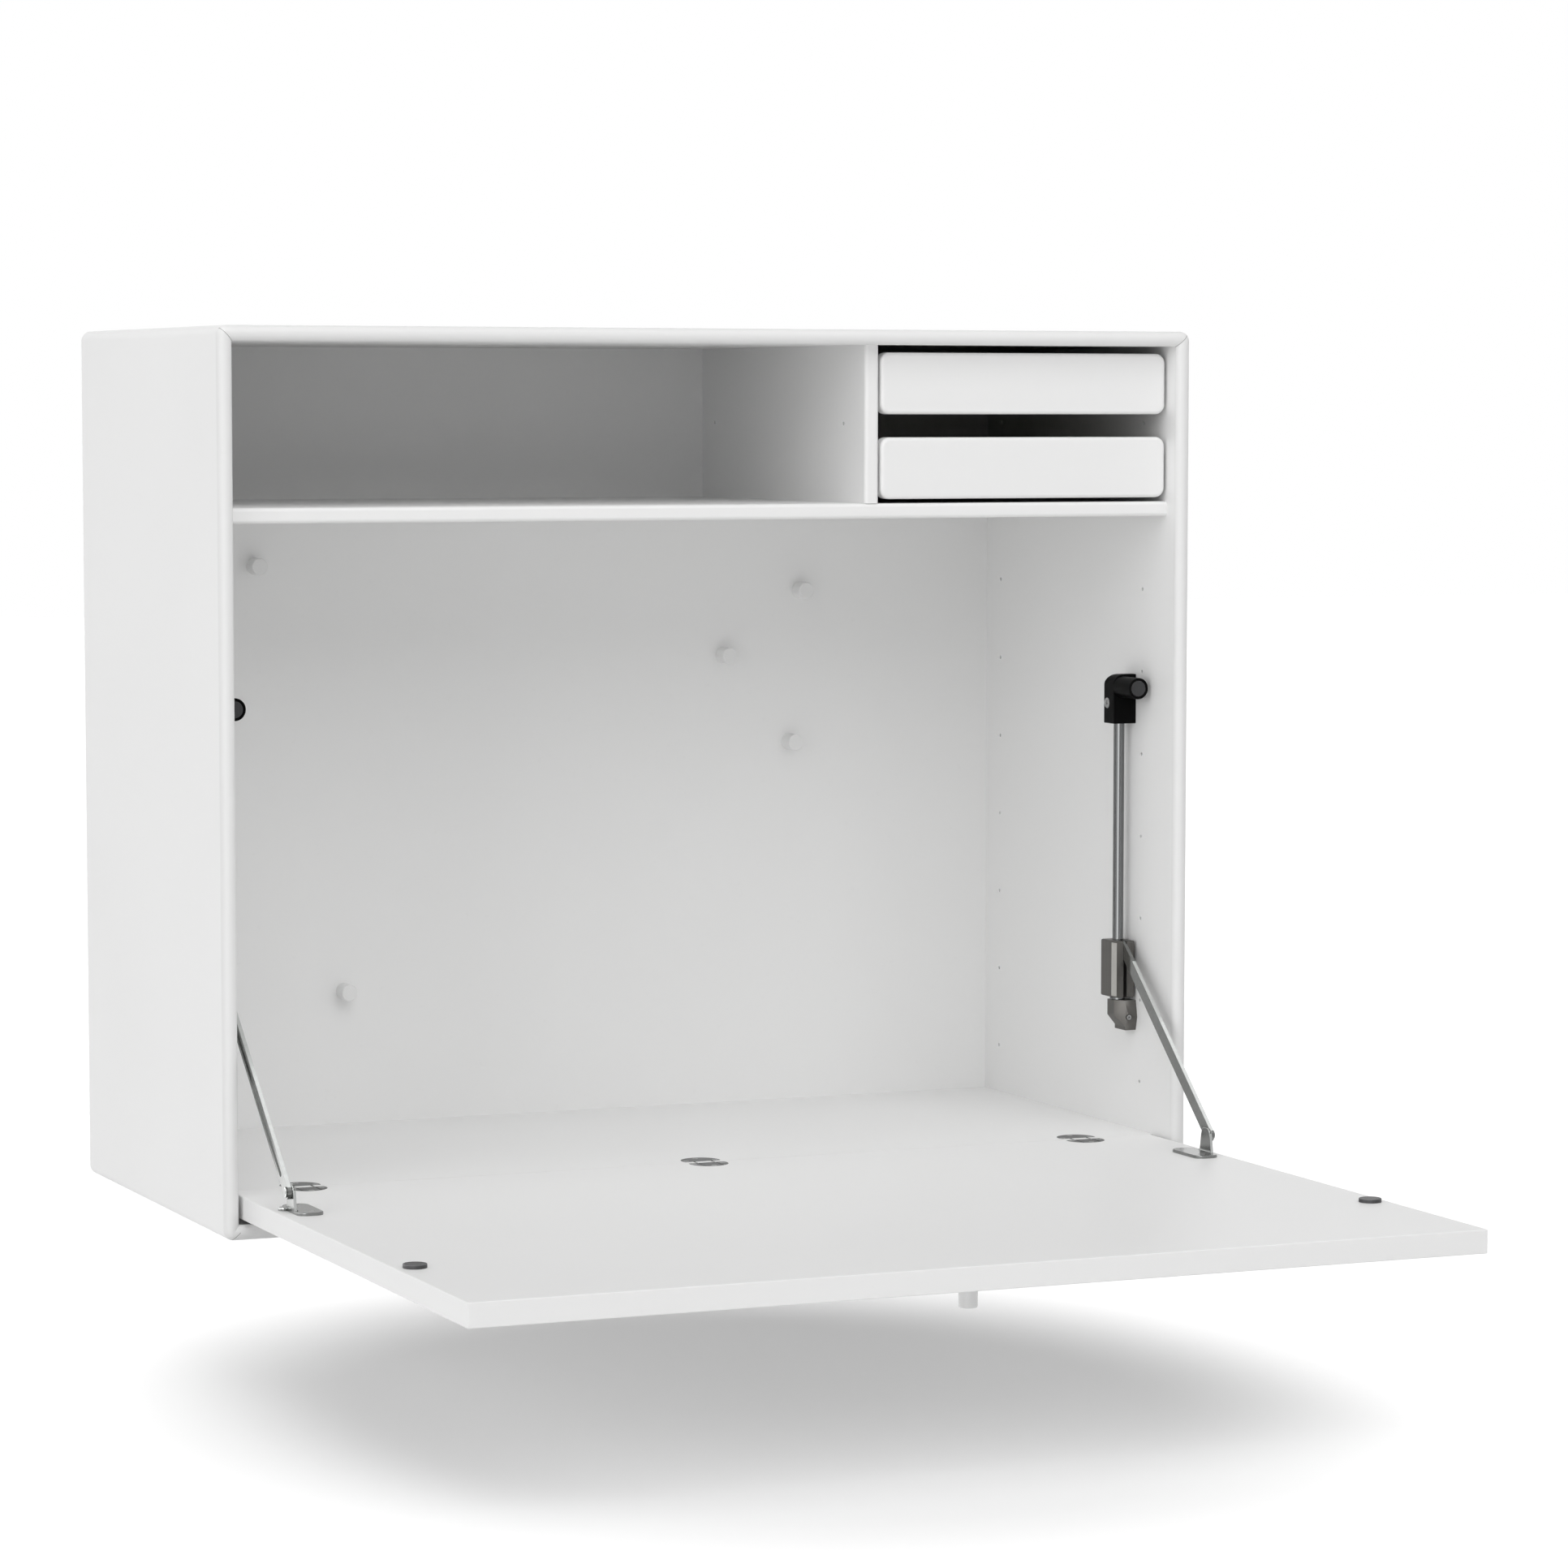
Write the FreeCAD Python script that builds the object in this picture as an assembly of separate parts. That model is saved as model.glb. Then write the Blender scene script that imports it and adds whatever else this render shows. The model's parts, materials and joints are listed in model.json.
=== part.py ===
"""Fold down wall desk: a shallow wall cabinet whose front flap folds down to make a desk.

Axes: X to the right, Y into the wall, Z up, in millimetres.
Origin: the middle of the wall rail's rear face, which lies on the wall.
The part is drawn with the flap open, on its stops, and both drawers pushed in.
"""
import FreeCAD, Part
import math
import os

from FreeCAD import Vector

# ---- Carcass --------------------------------------------------------------------------------
CABINET_W = 824.0          # outside width
CABINET_H = 696.0          # outside height
CABINET_D = 380.0          # from the wall to the front edge
BOARD = 12.0               # carcass, shelf and divider board
CORNER_R = 8.0             # outer long edges
NOSE_R = 5.9               # front edges of the carcass
SHELF_NOSE_R = 3.0         # front edges of the shelf and the divider
RAIL_BELOW_TOP = 56.0      # cabinet top to the middle of the wall rail

BACK_RECESS = 13.0         # wall to the rear face of the back panel
BACK_T = 8.0
BACK_GROOVE = 4.0          # how deep the back panel sits in the carcass

SHELF_BELOW_TOP = 144.0    # cabinet top to the shelf's centreline
DRAWER_BAY_W = 258.8       # between the divider and the right side panel
FLOOR_T = 21.5             # raised floor board on the bottom panel

# ---- Shelf-pin holes, pegs and dowels --------------------------------------------------------
PIN_R = 1.5
PIN_DEPTH = 8.0
PIN_PITCH = 68.4
PIN_FIRST = 74.4
PIN_ROWS = 9
PIN_REAR_Y = 48.7          # from the wall
PIN_FRONT_INSET = 60.9     # from the cabinet's front

PEG_R = 7.0
PEG_LEN = 16.0
PEG_EDGE = 1.0
PEG_SPIGOT_R = 3.0
# Each peg's X and its distance below the shelf.
PEG_PLACES = ((-272.5, 43.0), (219.6, 69.2), (148.3, 124.3), (209.9, 200.5), (-197.0, 400.5))

DOWEL_R = 3.0
DOWEL_IN_PANEL = 8.0
DOWEL_IN_SHELF = 16.0
DOWEL_REAR_Y = 60.0        # from the wall
DOWEL_FRONT_INSET = 80.0   # from the cabinet's front

# ---- Wall rail, hanger rail and spacer -------------------------------------------------------
RAIL_INSET = 50.0          # rail's end to the side panel's inner face
RAIL_T = 3.0
RAIL_HALF_H = 20.0
RAIL_STEP_Z = 9.0          # underside of the wall rail's step
RAIL_LIP_Y = 8.4           # from the wall to the outside of the wall rail's lip
RAIL_HOLE_R = 3.0
RAIL_HOLE_OUTER = 300.0    # from the middle
RAIL_HOLE_INNER = 100.0
HANGER_TOP = 24.0
HANGER_GAP = 0.4
SPACER_H = 30.0
SPACER_MID = 60.0          # above the underside

# ---- Drawers ---------------------------------------------------------------------------------
DRAWER_GAP = 2.0           # at each side
DRAWER_H = 49.2
DRAWER_FRONT_T = 12.0
DRAWER_CORNER_R = 8.0
DRAWER_EDGE_R = 3.0
LOWER_DRAWER_LIFT = 3.4    # above the shelf
BETWEEN_DRAWERS = 18.4
TRAY_SIDE_T = 12.0
TRAY_H = 40.0
TRAY_LIFT = 4.0            # tray's underside above the front's lower edge
TRAY_BACK_T = 10.0
TRAY_BOTTOM_T = 4.0
TRAY_BOTTOM_LIFT = 4.0     # above the tray's underside
TRAY_REAR_GAP = 14.0       # to the back panel
RUNNER_H = 9.0
RUNNER_REACH = 8.5         # out of the wall
RUNNER_SLACK = 0.3
RUNNER_REAR_GAP = 29.0     # to the back panel
RUNNER_FRONT_GAP = 19.7    # to the drawer's front
RUNNER_SCREW_INSET = 40.0  # from each end of the runner

# ---- Flap ------------------------------------------------------------------------------------
FLAP_T = 18.0
FLAP_SIDE_GAP = 2.8
FLAP_EDGE_R = 0.8
FLAP_HEEL_R = 6.0          # lower rear edge, which turns past the bottom panel
FLAP_FOOT_GAP = 1.2        # closed flap above the bottom panel
SHELF_STOP_GAP = 0.5       # closed flap to the shelf
FLAP_PROUD = 0.2           # closed flap's face in front of the carcass
HEEL_CLEARANCE = 0.5
JOINT_GAP = 0.6            # floor board to the open flap

KNOB_R = 7.0
KNOB_LEN = 21.0
KNOB_EDGE_R = 1.5
KNOB_SPIGOT_R = 4.0
KNOB_SPIGOT_LEN = 12.0
KNOB_FROM_EDGE = 52.0

DISC_R = 8.7
DISC_T = 3.0
DISC_EDGE_R = 0.6
DISC_INSET = 17.0          # disc's centre to the side panel's inner face
DISC_SPIGOT_R = 2.0
DISC_SPIGOT_LEN = 8.0

# ---- Hinges ----------------------------------------------------------------------------------
HINGE_INSET = 64.5         # outer hinges to the side panel's inner face
HINGE_SHIFT = -2.8         # the whole row of hinges, off the middle
HINGE_NAMES = ("left", "middle", "right")
CUP_R = 16.0
CUP_DEPTH = 10.0
CUP_SETBACK = 3.5          # joint line to the cup's straight edge
CUP_CENTRE = 8.5           # joint line to the cup's centre
PIVOT_DEPTH = 1.5          # pivot below the flap's top surface
PIN_ROD_R = 1.0
PIN_PLAY = 0.05
PIN_ROD_INNER = 4.0
PIN_ROD_OUTER = 11.0
LINK_X = 7.5
LINK_T = 1.6
LINK_EYE_R = 2.0
LINK_SINK = 0.3            # top of the link below the surface
LINK_H = 3.7
LINK_REACH = 18.0          # behind the joint line
LINK_SLOT_PLAY = 0.3
ANCHOR_BACK = 14.0         # anchor pin behind the joint line
CUP_SCREW_SIDE = 12.3
CUP_SCREW_MID = 11.5

# ---- Stays ------------------------------------------------------------------------------------
# Heights are above the cabinet's underside. Ahead and behind are measured from the rod's axis.
STAY_OFF_WALL = 10.9       # side panel's inner face to the stay's middle plane
ROD_FROM_FRONT = 80.7      # rod's axis to the cabinet's front
ROD_R = 4.5
ROD_LOW = 129.0
ROD_HIGH = 384.0
COLLAR_R = 6.4             # stop collar on the rod, on the lower bracket
COLLAR_T = 2.2

ELBOW_REACH = 20.6         # off the side panel
ELBOW_D = 18.0
ELBOW_LOW = 373.0
ELBOW_HIGH = 414.0
ELBOW_ROUND = 9.0
ELBOW_EDGE_R = 0.8
ELBOW_SCREW_Z = 389.8
ELBOW_SCREW_BEHIND = 4.0
BARREL_OFF_WALL = 12.2
BARREL_R = 8.8
BARREL_Z = 403.5
BARREL_LEN = 29.0
BARREL_EDGE_R = 0.8
MAGNET_R = 7.2
MAGNET_LEN = 6.0
MAGNET_SINK = 0.8

SOCKET_REACH = 17.0        # off the side panel
SOCKET_FOOT = 10.0         # the same, at the bottom
SOCKET_AHEAD = 12.5
SOCKET_NOSE = 2.6          # how far the front face swells at mid height
SOCKET_BEHIND = 6.3
SOCKET_CORNER = 6.6        # flat across the inner front corner
SOCKET_LOW = 117.0
SOCKET_FOOT_Z = 120.5
SOCKET_CHAMFER_Z = 129.0
SOCKET_NOSE_Z = 128.0
SOCKET_HIGH = 142.0
SOCKET_SPIGOT_R = 4.0      # pressed into the side panel
SOCKET_SPIGOT_LEN = 8.0
SOCKET_SPIGOT_Z = 130.0
CLAMP_OUT = 3.5            # clamp screw outboard of the rod
CLAMP_R = 2.2
CLAMP_LEN = 5.0

CARRIAGE_W = 18.0
CARRIAGE_AHEAD = 14.0
CARRIAGE_BEHIND = 12.7
CARRIAGE_LOW = 144.5
CARRIAGE_H = 47.5
CARRIAGE_EDGE_R = 1.5
CARRIAGE_CHAMFER = 2.3     # on the inner front edge
RIB_COUNT = 4
RIB_W = 1.6
RIB_DEPTH = 0.6
ARM_PIVOT_AHEAD = 9.8
ARM_PIVOT_DROP = 5.0       # below the carriage's top
ARM_T = 3.0
ARM_W = 10.8
ARM_TOP_EYE_R = 4.6
ARM_GROOVE_W = 4.6
ARM_GROOVE_DEPTH = 0.9
ARM_GROOVE_END = 18.0      # from each pivot
ARM_PLAY = 0.2             # arm to the slot's cheeks
RIVET_R = 2.0
RIVET_HEAD_R = 3.5
RIVET_HEAD_T = 1.0

FOOT_T = 2.4
FOOT_W = 20.9
FOOT_L = 48.6
FOOT_R = 7.5
FOOT_FROM_JOINT = 117.2    # joint line to the plate's centre
FOOT_SCREW_INSET = 8.6     # from the plate's inner edge
FOOT_SCREW_REAR = 17.0     # from the plate's centre
FOOT_SCREW_FRONT = 15.5
FOOT_LUG_R = 4.4           # lug behind the tab, under the arm
FOOT_LUG_OUT = 1.1         # its screw outboard of the plate's edge
FOOT_LUG_REAR = 9.6        # from the plate's centre
STUD_FROM_JOINT = 119.6
STUD_UP = 15.6             # stud above the flap's top surface
STUD_R = 2.5
STUD_HEAD_R = 4.0
STUD_HEAD_T = 1.5
TAB_T = 2.2
TAB_GAP = 0.2              # tab to the arm
TAB_BASE = 19.5
TAB_TOP = 12.5
TAB_OVER = 6.1             # tab's top above the stud's axis

# ---- Screws ----------------------------------------------------------------------------------
SCREW_HEAD_R = 3.5
SCREW_HEAD_T = 2.2
SCREW_SHANK_R = 1.6
WALL_HEAD_R = 4.6          # the brackets' screws
WALL_HEAD_T = 2.6
WALL_SHANK_R = 2.0
SMALL_HEAD_R = 2.6
SMALL_HEAD_T = 1.6
SMALL_SHANK_R = 1.2
RECESS_W = 0.7
RECESS_DEPTH = 0.9
HINGE_SCREW_LEN = 14.0
FOOT_SCREW_LEN = 13.0
PANEL_BITE = 8.0           # how far a screw goes into a side panel
RUNNER_SCREW_LEN = 14.0

# ---- Worked out from the sizes above ---------------------------------------------------------
TOP = RAIL_BELOW_TOP                           # Z of the cabinet's top
BASE = TOP - CABINET_H                         # Z of the cabinet's underside
INNER_X = CABINET_W / 2 - BOARD                # side panel's inner face
RAIL_L = 2 * (INNER_X - RAIL_INSET)
INNER_LOW = BASE + BOARD
INNER_HIGH = TOP - BOARD
BACK_FACE = -(BACK_RECESS + BACK_T)            # Y of the back panel's front face
FRONT_Y = -CABINET_D
SHELF_FRONT = FRONT_Y + FLAP_T + SHELF_STOP_GAP - FLAP_PROUD
SHELF_MID = TOP - SHELF_BELOW_TOP              # Z of the shelf's centreline
SHELF_LOW = SHELF_MID - BOARD / 2
SHELF_HIGH = SHELF_LOW + BOARD
DIVIDER_RIGHT = INNER_X - DRAWER_BAY_W
DIVIDER_X = DIVIDER_RIGHT - BOARD              # divider's left face
PIN_FRONT_Y = CABINET_D - PIN_FRONT_INSET
DOWEL_Y = (DOWEL_REAR_Y, CABINET_D - DOWEL_FRONT_INSET)

FLAP_TOP = INNER_LOW + FLOOR_T                 # Z of the open flap's upper face
CLOSED_INNER_Y = SHELF_FRONT - SHELF_STOP_GAP  # inner face of the closed flap
CLOSED_LOW = INNER_LOW + FLAP_FOOT_GAP         # lower end of the closed flap
CLOSED_HIGH = SHELF_MID                        # upper end: half way up the shelf's edge
FLAP_L = CLOSED_HIGH - CLOSED_LOW
PIVOT_Z = FLAP_TOP - PIVOT_DEPTH
PIVOT_Y = CLOSED_INNER_Y - PIVOT_DEPTH
PIVOT_INSET = PIVOT_Z - CLOSED_LOW             # pivot from the flap's rear end
JOINT_Y = PIVOT_Y + PIVOT_INSET                # rear end of the open flap
FLAP_FRONT = JOINT_Y - FLAP_L
FLAP_HALF_W = INNER_X - FLAP_SIDE_GAP
HEEL_SWEEP = math.hypot(FLAP_T - PIVOT_DEPTH - FLAP_HEEL_R, PIVOT_INSET - FLAP_HEEL_R) + FLAP_HEEL_R

HINGE_X = (HINGE_SHIFT - INNER_X + HINGE_INSET, HINGE_SHIFT, HINGE_SHIFT + INNER_X - HINGE_INSET)
RUNNER_START = -BACK_FACE + RUNNER_REAR_GAP    # from the wall
RUNNER_END = -SHELF_FRONT - DRAWER_FRONT_T - RUNNER_FRONT_GAP

ROD_Y = CABINET_D - ROD_FROM_FRONT             # from the wall
FOOT_Y = -JOINT_Y + FOOT_FROM_JOINT
STUD_Y = -JOINT_Y + STUD_FROM_JOINT
STAY_X = INNER_X - STAY_OFF_WALL
ARM_TOP = Vector(STAY_X, -ROD_Y - ARM_PIVOT_AHEAD, BASE + CARRIAGE_LOW + CARRIAGE_H - ARM_PIVOT_DROP)
STUD = Vector(STAY_X, -STUD_Y, FLAP_TOP + STUD_UP)

PARTS = {}


# ---- Helpers ---------------------------------------------------------------------------------

def box(x0, x1, y0, y1, z0, z1):
    """A box between two limits on each axis."""
    return Part.makeBox(x1 - x0, y1 - y0, z1 - z0, Vector(x0, y0, z0))


def rod(radius, start, end):
    """A cylinder from one point to another."""
    return Part.makeCylinder(radius, (end - start).Length, start, end - start)


def prism(points, along):
    """A polygon swept along a vector."""
    return Part.Face(Part.makePolygon(points + points[:1])).extrude(along)


def soften(shape, radius, wanted):
    """Rounds the edges for which wanted(edge) is true."""
    edges = [edge for edge in shape.Edges if wanted(edge)]
    return shape.makeFillet(radius, edges) if edges else shape


def along(edge, axis):
    """True for a straight edge that runs along the axis x, y or z."""
    if not isinstance(edge.Curve, Part.Line):
        return False
    return abs(abs(getattr(edge.Curve.Direction, axis)) - 1) < 1e-6


def lies_at(edge, axis, value):
    """True for an edge that lies whole in the plane axis = value."""
    box_of = edge.BoundBox
    low, high = getattr(box_of, axis.upper() + "Min"), getattr(box_of, axis.upper() + "Max")
    return abs(low - value) < 1e-4 and abs(high - value) < 1e-4


def mirrored(shape):
    """The same piece on the other side of the cabinet."""
    return shape.mirror(Vector(0, 0, 0), Vector(1, 0, 0))


def both_sides(name, shape):
    """Stores a right-hand piece, or a list of them, and its left-hand twin."""
    pieces = shape if isinstance(shape, list) else [shape]
    keep("right_" + name, pieces)
    keep("left_" + name, [mirrored(piece) for piece in pieces])


def keep(name, shape):
    """Stores a node, which may be one solid or a list of solids."""
    solids = shape if isinstance(shape, list) else [shape]
    PARTS[name] = [solid for item in solids for solid in item.Solids]


def cut_all(shape, tools):
    """Takes a list of tools out of a solid."""
    return shape.cut(tools) if tools else shape


def screw(seat, into, length, head_r=SCREW_HEAD_R, head_t=SCREW_HEAD_T, shank_r=SCREW_SHANK_R):
    """A countersunk screw with a cross recess; seat is the middle of the head's outer face."""
    into = Vector(into).normalize()
    neck = seat + into * head_t
    head = Part.makeCone(head_r, shank_r, head_t, seat, into)
    body = head.fuse(rod(shank_r, neck, seat + into * length))
    return body.cut(cross_recess(seat, into, head_r))


def cross_recess(seat, into, head_r):
    """The cross of a screw head, as a tool that cuts it."""
    side = Vector(0, 1, 0) if abs(into.x) > 0.5 else Vector(1, 0, 0)
    other = into.cross(side)
    span = head_r * 1.2
    bars = []
    for a, b in ((side, other), (other, side)):
        corner = seat - a * (span / 2) - b * (RECESS_W / 2)
        points = [corner, corner + a * span, corner + a * span + b * RECESS_W, corner + b * RECESS_W]
        bars.append(prism(points, into * RECESS_DEPTH))
    return bars[0].fuse(bars[1])


def small_screw(seat, into, length):
    """The smaller size, for hinges, feet and runners."""
    return screw(seat, into, length, SMALL_HEAD_R, SMALL_HEAD_T, SMALL_SHANK_R)


def screw_hole(seat, into, length, head_r=SCREW_HEAD_R, head_t=SCREW_HEAD_T, shank_r=SCREW_SHANK_R):
    """The plain hole that a screw fills."""
    into = Vector(into).normalize()
    neck = seat + into * head_t
    cone = Part.makeCone(head_r, shank_r, head_t, seat, into)
    return cone.fuse(rod(shank_r, neck, seat + into * length))


def small_hole(seat, into, length):
    """The hole that the smaller screw fills."""
    return screw_hole(seat, into, length, SMALL_HEAD_R, SMALL_HEAD_T, SMALL_SHANK_R)


# ---- Carcass ---------------------------------------------------------------------------------

def carcass_body():
    """The outer shape that all four carcass panels share, with its rounded corners and front."""
    body = box(-CABINET_W / 2, CABINET_W / 2, FRONT_Y, 0, BASE, TOP)
    body = soften(body, CORNER_R, lambda edge: along(edge, "y"))
    return soften(body, min(NOSE_R, BOARD / 2 - 0.1), lambda edge: lies_at(edge, "y", FRONT_Y))


def mitred_panel(outer, inner, inner_axis, inner_value):
    """One carcass panel: a mitred board with its inner front edge rounded."""
    points = [Vector(x, FRONT_Y, z) for x, z in outer + inner]
    board = prism(points, Vector(0, CABINET_D, 0))
    nose = min(NOSE_R, BOARD / 2 - 0.1)
    board = soften(board, nose, lambda edge: lies_at(edge, "y", FRONT_Y)
                   and lies_at(edge, inner_axis, inner_value))
    return board.common(carcass_body()).cut(back_panel_blank())


def carcass_panels():
    """Left, right, top and bottom panels, uncut."""
    w, x = CABINET_W / 2, INNER_X
    left = mitred_panel([(-w, BASE), (-w, TOP)], [(-x, INNER_HIGH), (-x, INNER_LOW)], "x", -x)
    right = mitred_panel([(w, BASE), (w, TOP)], [(x, INNER_HIGH), (x, INNER_LOW)], "x", x)
    top = mitred_panel([(-w, TOP), (w, TOP)], [(x, INNER_HIGH), (-x, INNER_HIGH)], "z", INNER_HIGH)
    bottom = mitred_panel([(-w, BASE), (w, BASE)], [(x, INNER_LOW), (-x, INNER_LOW)], "z", INNER_LOW)
    return left, right, top, bottom


def back_panel_blank():
    """The back panel before its holes, let into the carcass on all four sides."""
    return box(-INNER_X - BACK_GROOVE, INNER_X + BACK_GROOVE, BACK_FACE, -BACK_RECESS,
               INNER_LOW - BACK_GROOVE, INNER_HIGH + BACK_GROOVE)


def pin_holes(face_x, into, rows):
    """Two columns of shelf-pin holes in an upright face."""
    tools = []
    for row in rows:
        for y in (-PIN_REAR_Y, -PIN_FRONT_Y):
            start = Vector(face_x, y, BASE + PIN_FIRST + row * PIN_PITCH)
            tools.append(rod(PIN_R, start, start + Vector(into * PIN_DEPTH, 0, 0)))
    return tools


def free_pin_rows(low, high):
    """The rows of pin holes that lie clear between two heights."""
    heights = [(row, BASE + PIN_FIRST + row * PIN_PITCH) for row in range(PIN_ROWS)]
    return [row for row, z in heights if low + 2 * PIN_R < z < high - 2 * PIN_R]


def side_pin_rows():
    return free_pin_rows(FLAP_TOP, SHELF_LOW) + free_pin_rows(SHELF_HIGH, INNER_HIGH)


def heel_groove():
    """The groove in the bottom panel that the flap's heel turns through."""
    start = Vector(-FLAP_HALF_W - FLAP_SIDE_GAP, PIVOT_Y, PIVOT_Z)
    end = Vector(FLAP_HALF_W + FLAP_SIDE_GAP, PIVOT_Y, PIVOT_Z)
    return rod(HEEL_SWEEP + HEEL_CLEARANCE, start, end)


def upright_board(x0, x1, z0, z1):
    """A board on edge behind the flap, with its front edges rounded."""
    board = box(x0, x1, SHELF_FRONT, BACK_FACE, z0, z1)
    return soften(board, SHELF_NOSE_R, lambda edge: along(edge, "z") and lies_at(edge, "y", SHELF_FRONT))


def flat_board(x0, x1, z0, z1):
    """A level board behind the flap, with its front edges rounded."""
    board = box(x0, x1, SHELF_FRONT, BACK_FACE, z0, z1)
    return soften(board, SHELF_NOSE_R, lambda edge: along(edge, "x") and lies_at(edge, "y", SHELF_FRONT))


def panel_dowels():
    """Dowels that hold the shelf in the side panels, and the divider in the top and the shelf."""
    dowels = []
    mid_x = DIVIDER_X + BOARD / 2
    for back in DOWEL_Y:
        for side in (-1, 1):
            x_out, x_in = INNER_X + DOWEL_IN_PANEL, INNER_X - DOWEL_IN_SHELF
            ends = (Vector(side * x_in, -back, SHELF_MID), Vector(side * x_out, -back, SHELF_MID))
            dowels.append(rod(DOWEL_R, *ends))
        for face, out in ((SHELF_HIGH, -1), (INNER_HIGH, 1)):
            low = Vector(mid_x, -back, face - out * DOWEL_IN_SHELF)
            dowels.append(rod(DOWEL_R, low, Vector(mid_x, -back, face + out * DOWEL_IN_PANEL)))
    return dowels


def back_pegs():
    """Round pegs glued into the back panel."""
    pegs = []
    for x, drop in PEG_PLACES:
        foot = Vector(x, BACK_FACE, SHELF_LOW - drop)
        peg = rod(PEG_R, foot, foot - Vector(0, PEG_LEN, 0))
        peg = soften(peg, PEG_EDGE, lambda edge: lies_at(edge, "y", BACK_FACE - PEG_LEN))
        pegs.append(peg.fuse(rod(PEG_SPIGOT_R, foot, foot + Vector(0, BACK_T, 0))))
    return pegs


def peg_holes():
    """Holes through the back panel for the pegs' spigots."""
    feet = [Vector(x, BACK_FACE, SHELF_LOW - drop) for x, drop in PEG_PLACES]
    return [rod(PEG_SPIGOT_R, foot, foot + Vector(0, BACK_T, 0)) for foot in feet]


# ---- Wall fixing -----------------------------------------------------------------------------

def rail_profile(points):
    """Sweeps a profile, given as (distance from the wall, height), along the rail's length."""
    outline = [Vector(-RAIL_L / 2, -y, z) for y, z in points]
    return prism(outline, Vector(RAIL_L, 0, 0))


def wall_rail():
    """The rail that is bolted to the wall: a flat web, a step out and a lip that turns up."""
    step_top = RAIL_STEP_Z + RAIL_T
    rail = rail_profile([(0, -RAIL_HALF_H), (RAIL_T, -RAIL_HALF_H), (RAIL_T, RAIL_STEP_Z),
                         (RAIL_LIP_Y, RAIL_STEP_Z), (RAIL_LIP_Y, RAIL_HALF_H),
                         (RAIL_LIP_Y - RAIL_T, RAIL_HALF_H), (RAIL_LIP_Y - RAIL_T, step_top), (0, step_top)])
    holes = []
    for x in (-RAIL_HOLE_OUTER, -RAIL_HOLE_INNER, RAIL_HOLE_INNER, RAIL_HOLE_OUTER):
        holes.append(rod(RAIL_HOLE_R, Vector(x, -RAIL_T, 0), Vector(x, 0, 0)))
    return cut_all(rail, holes)


def hanger_rail():
    """The cabinet's rail, which hooks down behind the wall rail's lip."""
    out = BACK_RECESS
    inner_lip = RAIL_LIP_Y - RAIL_T - HANGER_GAP
    return rail_profile([(out, -RAIL_HALF_H), (out - RAIL_T, -RAIL_HALF_H), (out - RAIL_T, RAIL_HALF_H),
                         (inner_lip, RAIL_HALF_H), (inner_lip, RAIL_STEP_Z + RAIL_T + 2 * HANGER_GAP),
                         (inner_lip - RAIL_T, RAIL_STEP_Z + RAIL_T + 2 * HANGER_GAP),
                         (inner_lip - RAIL_T, HANGER_TOP), (out, HANGER_TOP)])


def spacer():
    """The batten that keeps the cabinet's lower end as far from the wall as the rails do."""
    mid = BASE + SPACER_MID
    return box(-RAIL_L / 2, RAIL_L / 2, -BACK_RECESS, 0, mid - SPACER_H / 2, mid + SPACER_H / 2)


def back_screw_seats():
    """Seats and lengths of the screws that hold the hanger rail and the spacer to the back panel."""
    seats = []
    for x in (-RAIL_HOLE_OUTER + 40, -RAIL_HOLE_INNER + 40, RAIL_HOLE_INNER - 40, RAIL_HOLE_OUTER - 40):
        seats.append((Vector(x, -BACK_RECESS + RAIL_T, -RAIL_HALF_H / 2), RAIL_T + BACK_T - 1.5))
    for x in (-RAIL_HOLE_OUTER, RAIL_HOLE_OUTER):
        seats.append((Vector(x, 0, BASE + SPACER_MID), BACK_RECESS + BACK_T - 1.5))
    return seats


# ---- Drawers ---------------------------------------------------------------------------------

def drawer_low(index):
    """Z of a drawer's lower edge: 0 is the lower drawer and 1 the upper."""
    return SHELF_HIGH + LOWER_DRAWER_LIFT + index * (DRAWER_H + BETWEEN_DRAWERS)


def drawer_limits():
    """Left and right sides of both drawers."""
    return DIVIDER_RIGHT + DRAWER_GAP, INNER_X - DRAWER_GAP


def drawer_front(index):
    """A front with rounded corners and softened edges."""
    x0, x1 = drawer_limits()
    low = drawer_low(index)
    rear = SHELF_FRONT + DRAWER_FRONT_T
    front = box(x0, x1, SHELF_FRONT, rear, low, low + DRAWER_H)
    front = soften(front, DRAWER_CORNER_R, lambda edge: along(edge, "y"))
    return soften(front, DRAWER_EDGE_R, lambda edge: lies_at(edge, "y", SHELF_FRONT))


def runner_height(index):
    """Z of the middle of a drawer's runners."""
    return drawer_low(index) + TRAY_LIFT + TRAY_H / 2 + TRAY_BOTTOM_LIFT


def tray_walls(index):
    """The two sides and the back of a tray, grooved for the runners."""
    x0, x1 = drawer_limits()
    low = drawer_low(index) + TRAY_LIFT
    front, rear = SHELF_FRONT + DRAWER_FRONT_T, BACK_FACE - TRAY_REAR_GAP
    walls = box(x0, x1, front, rear, low, low + TRAY_H)
    walls = walls.cut(box(x0 + TRAY_SIDE_T, x1 - TRAY_SIDE_T, front, rear - TRAY_BACK_T, low, low + TRAY_H))
    half = RUNNER_H / 2 + RUNNER_SLACK
    mid = runner_height(index)
    deep = RUNNER_REACH - DRAWER_GAP + RUNNER_SLACK
    left_groove = box(x0, x0 + deep, front, rear, mid - half, mid + half)
    right_groove = box(x1 - deep, x1, front, rear, mid - half, mid + half)
    return walls.cut([left_groove, right_groove])


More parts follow.
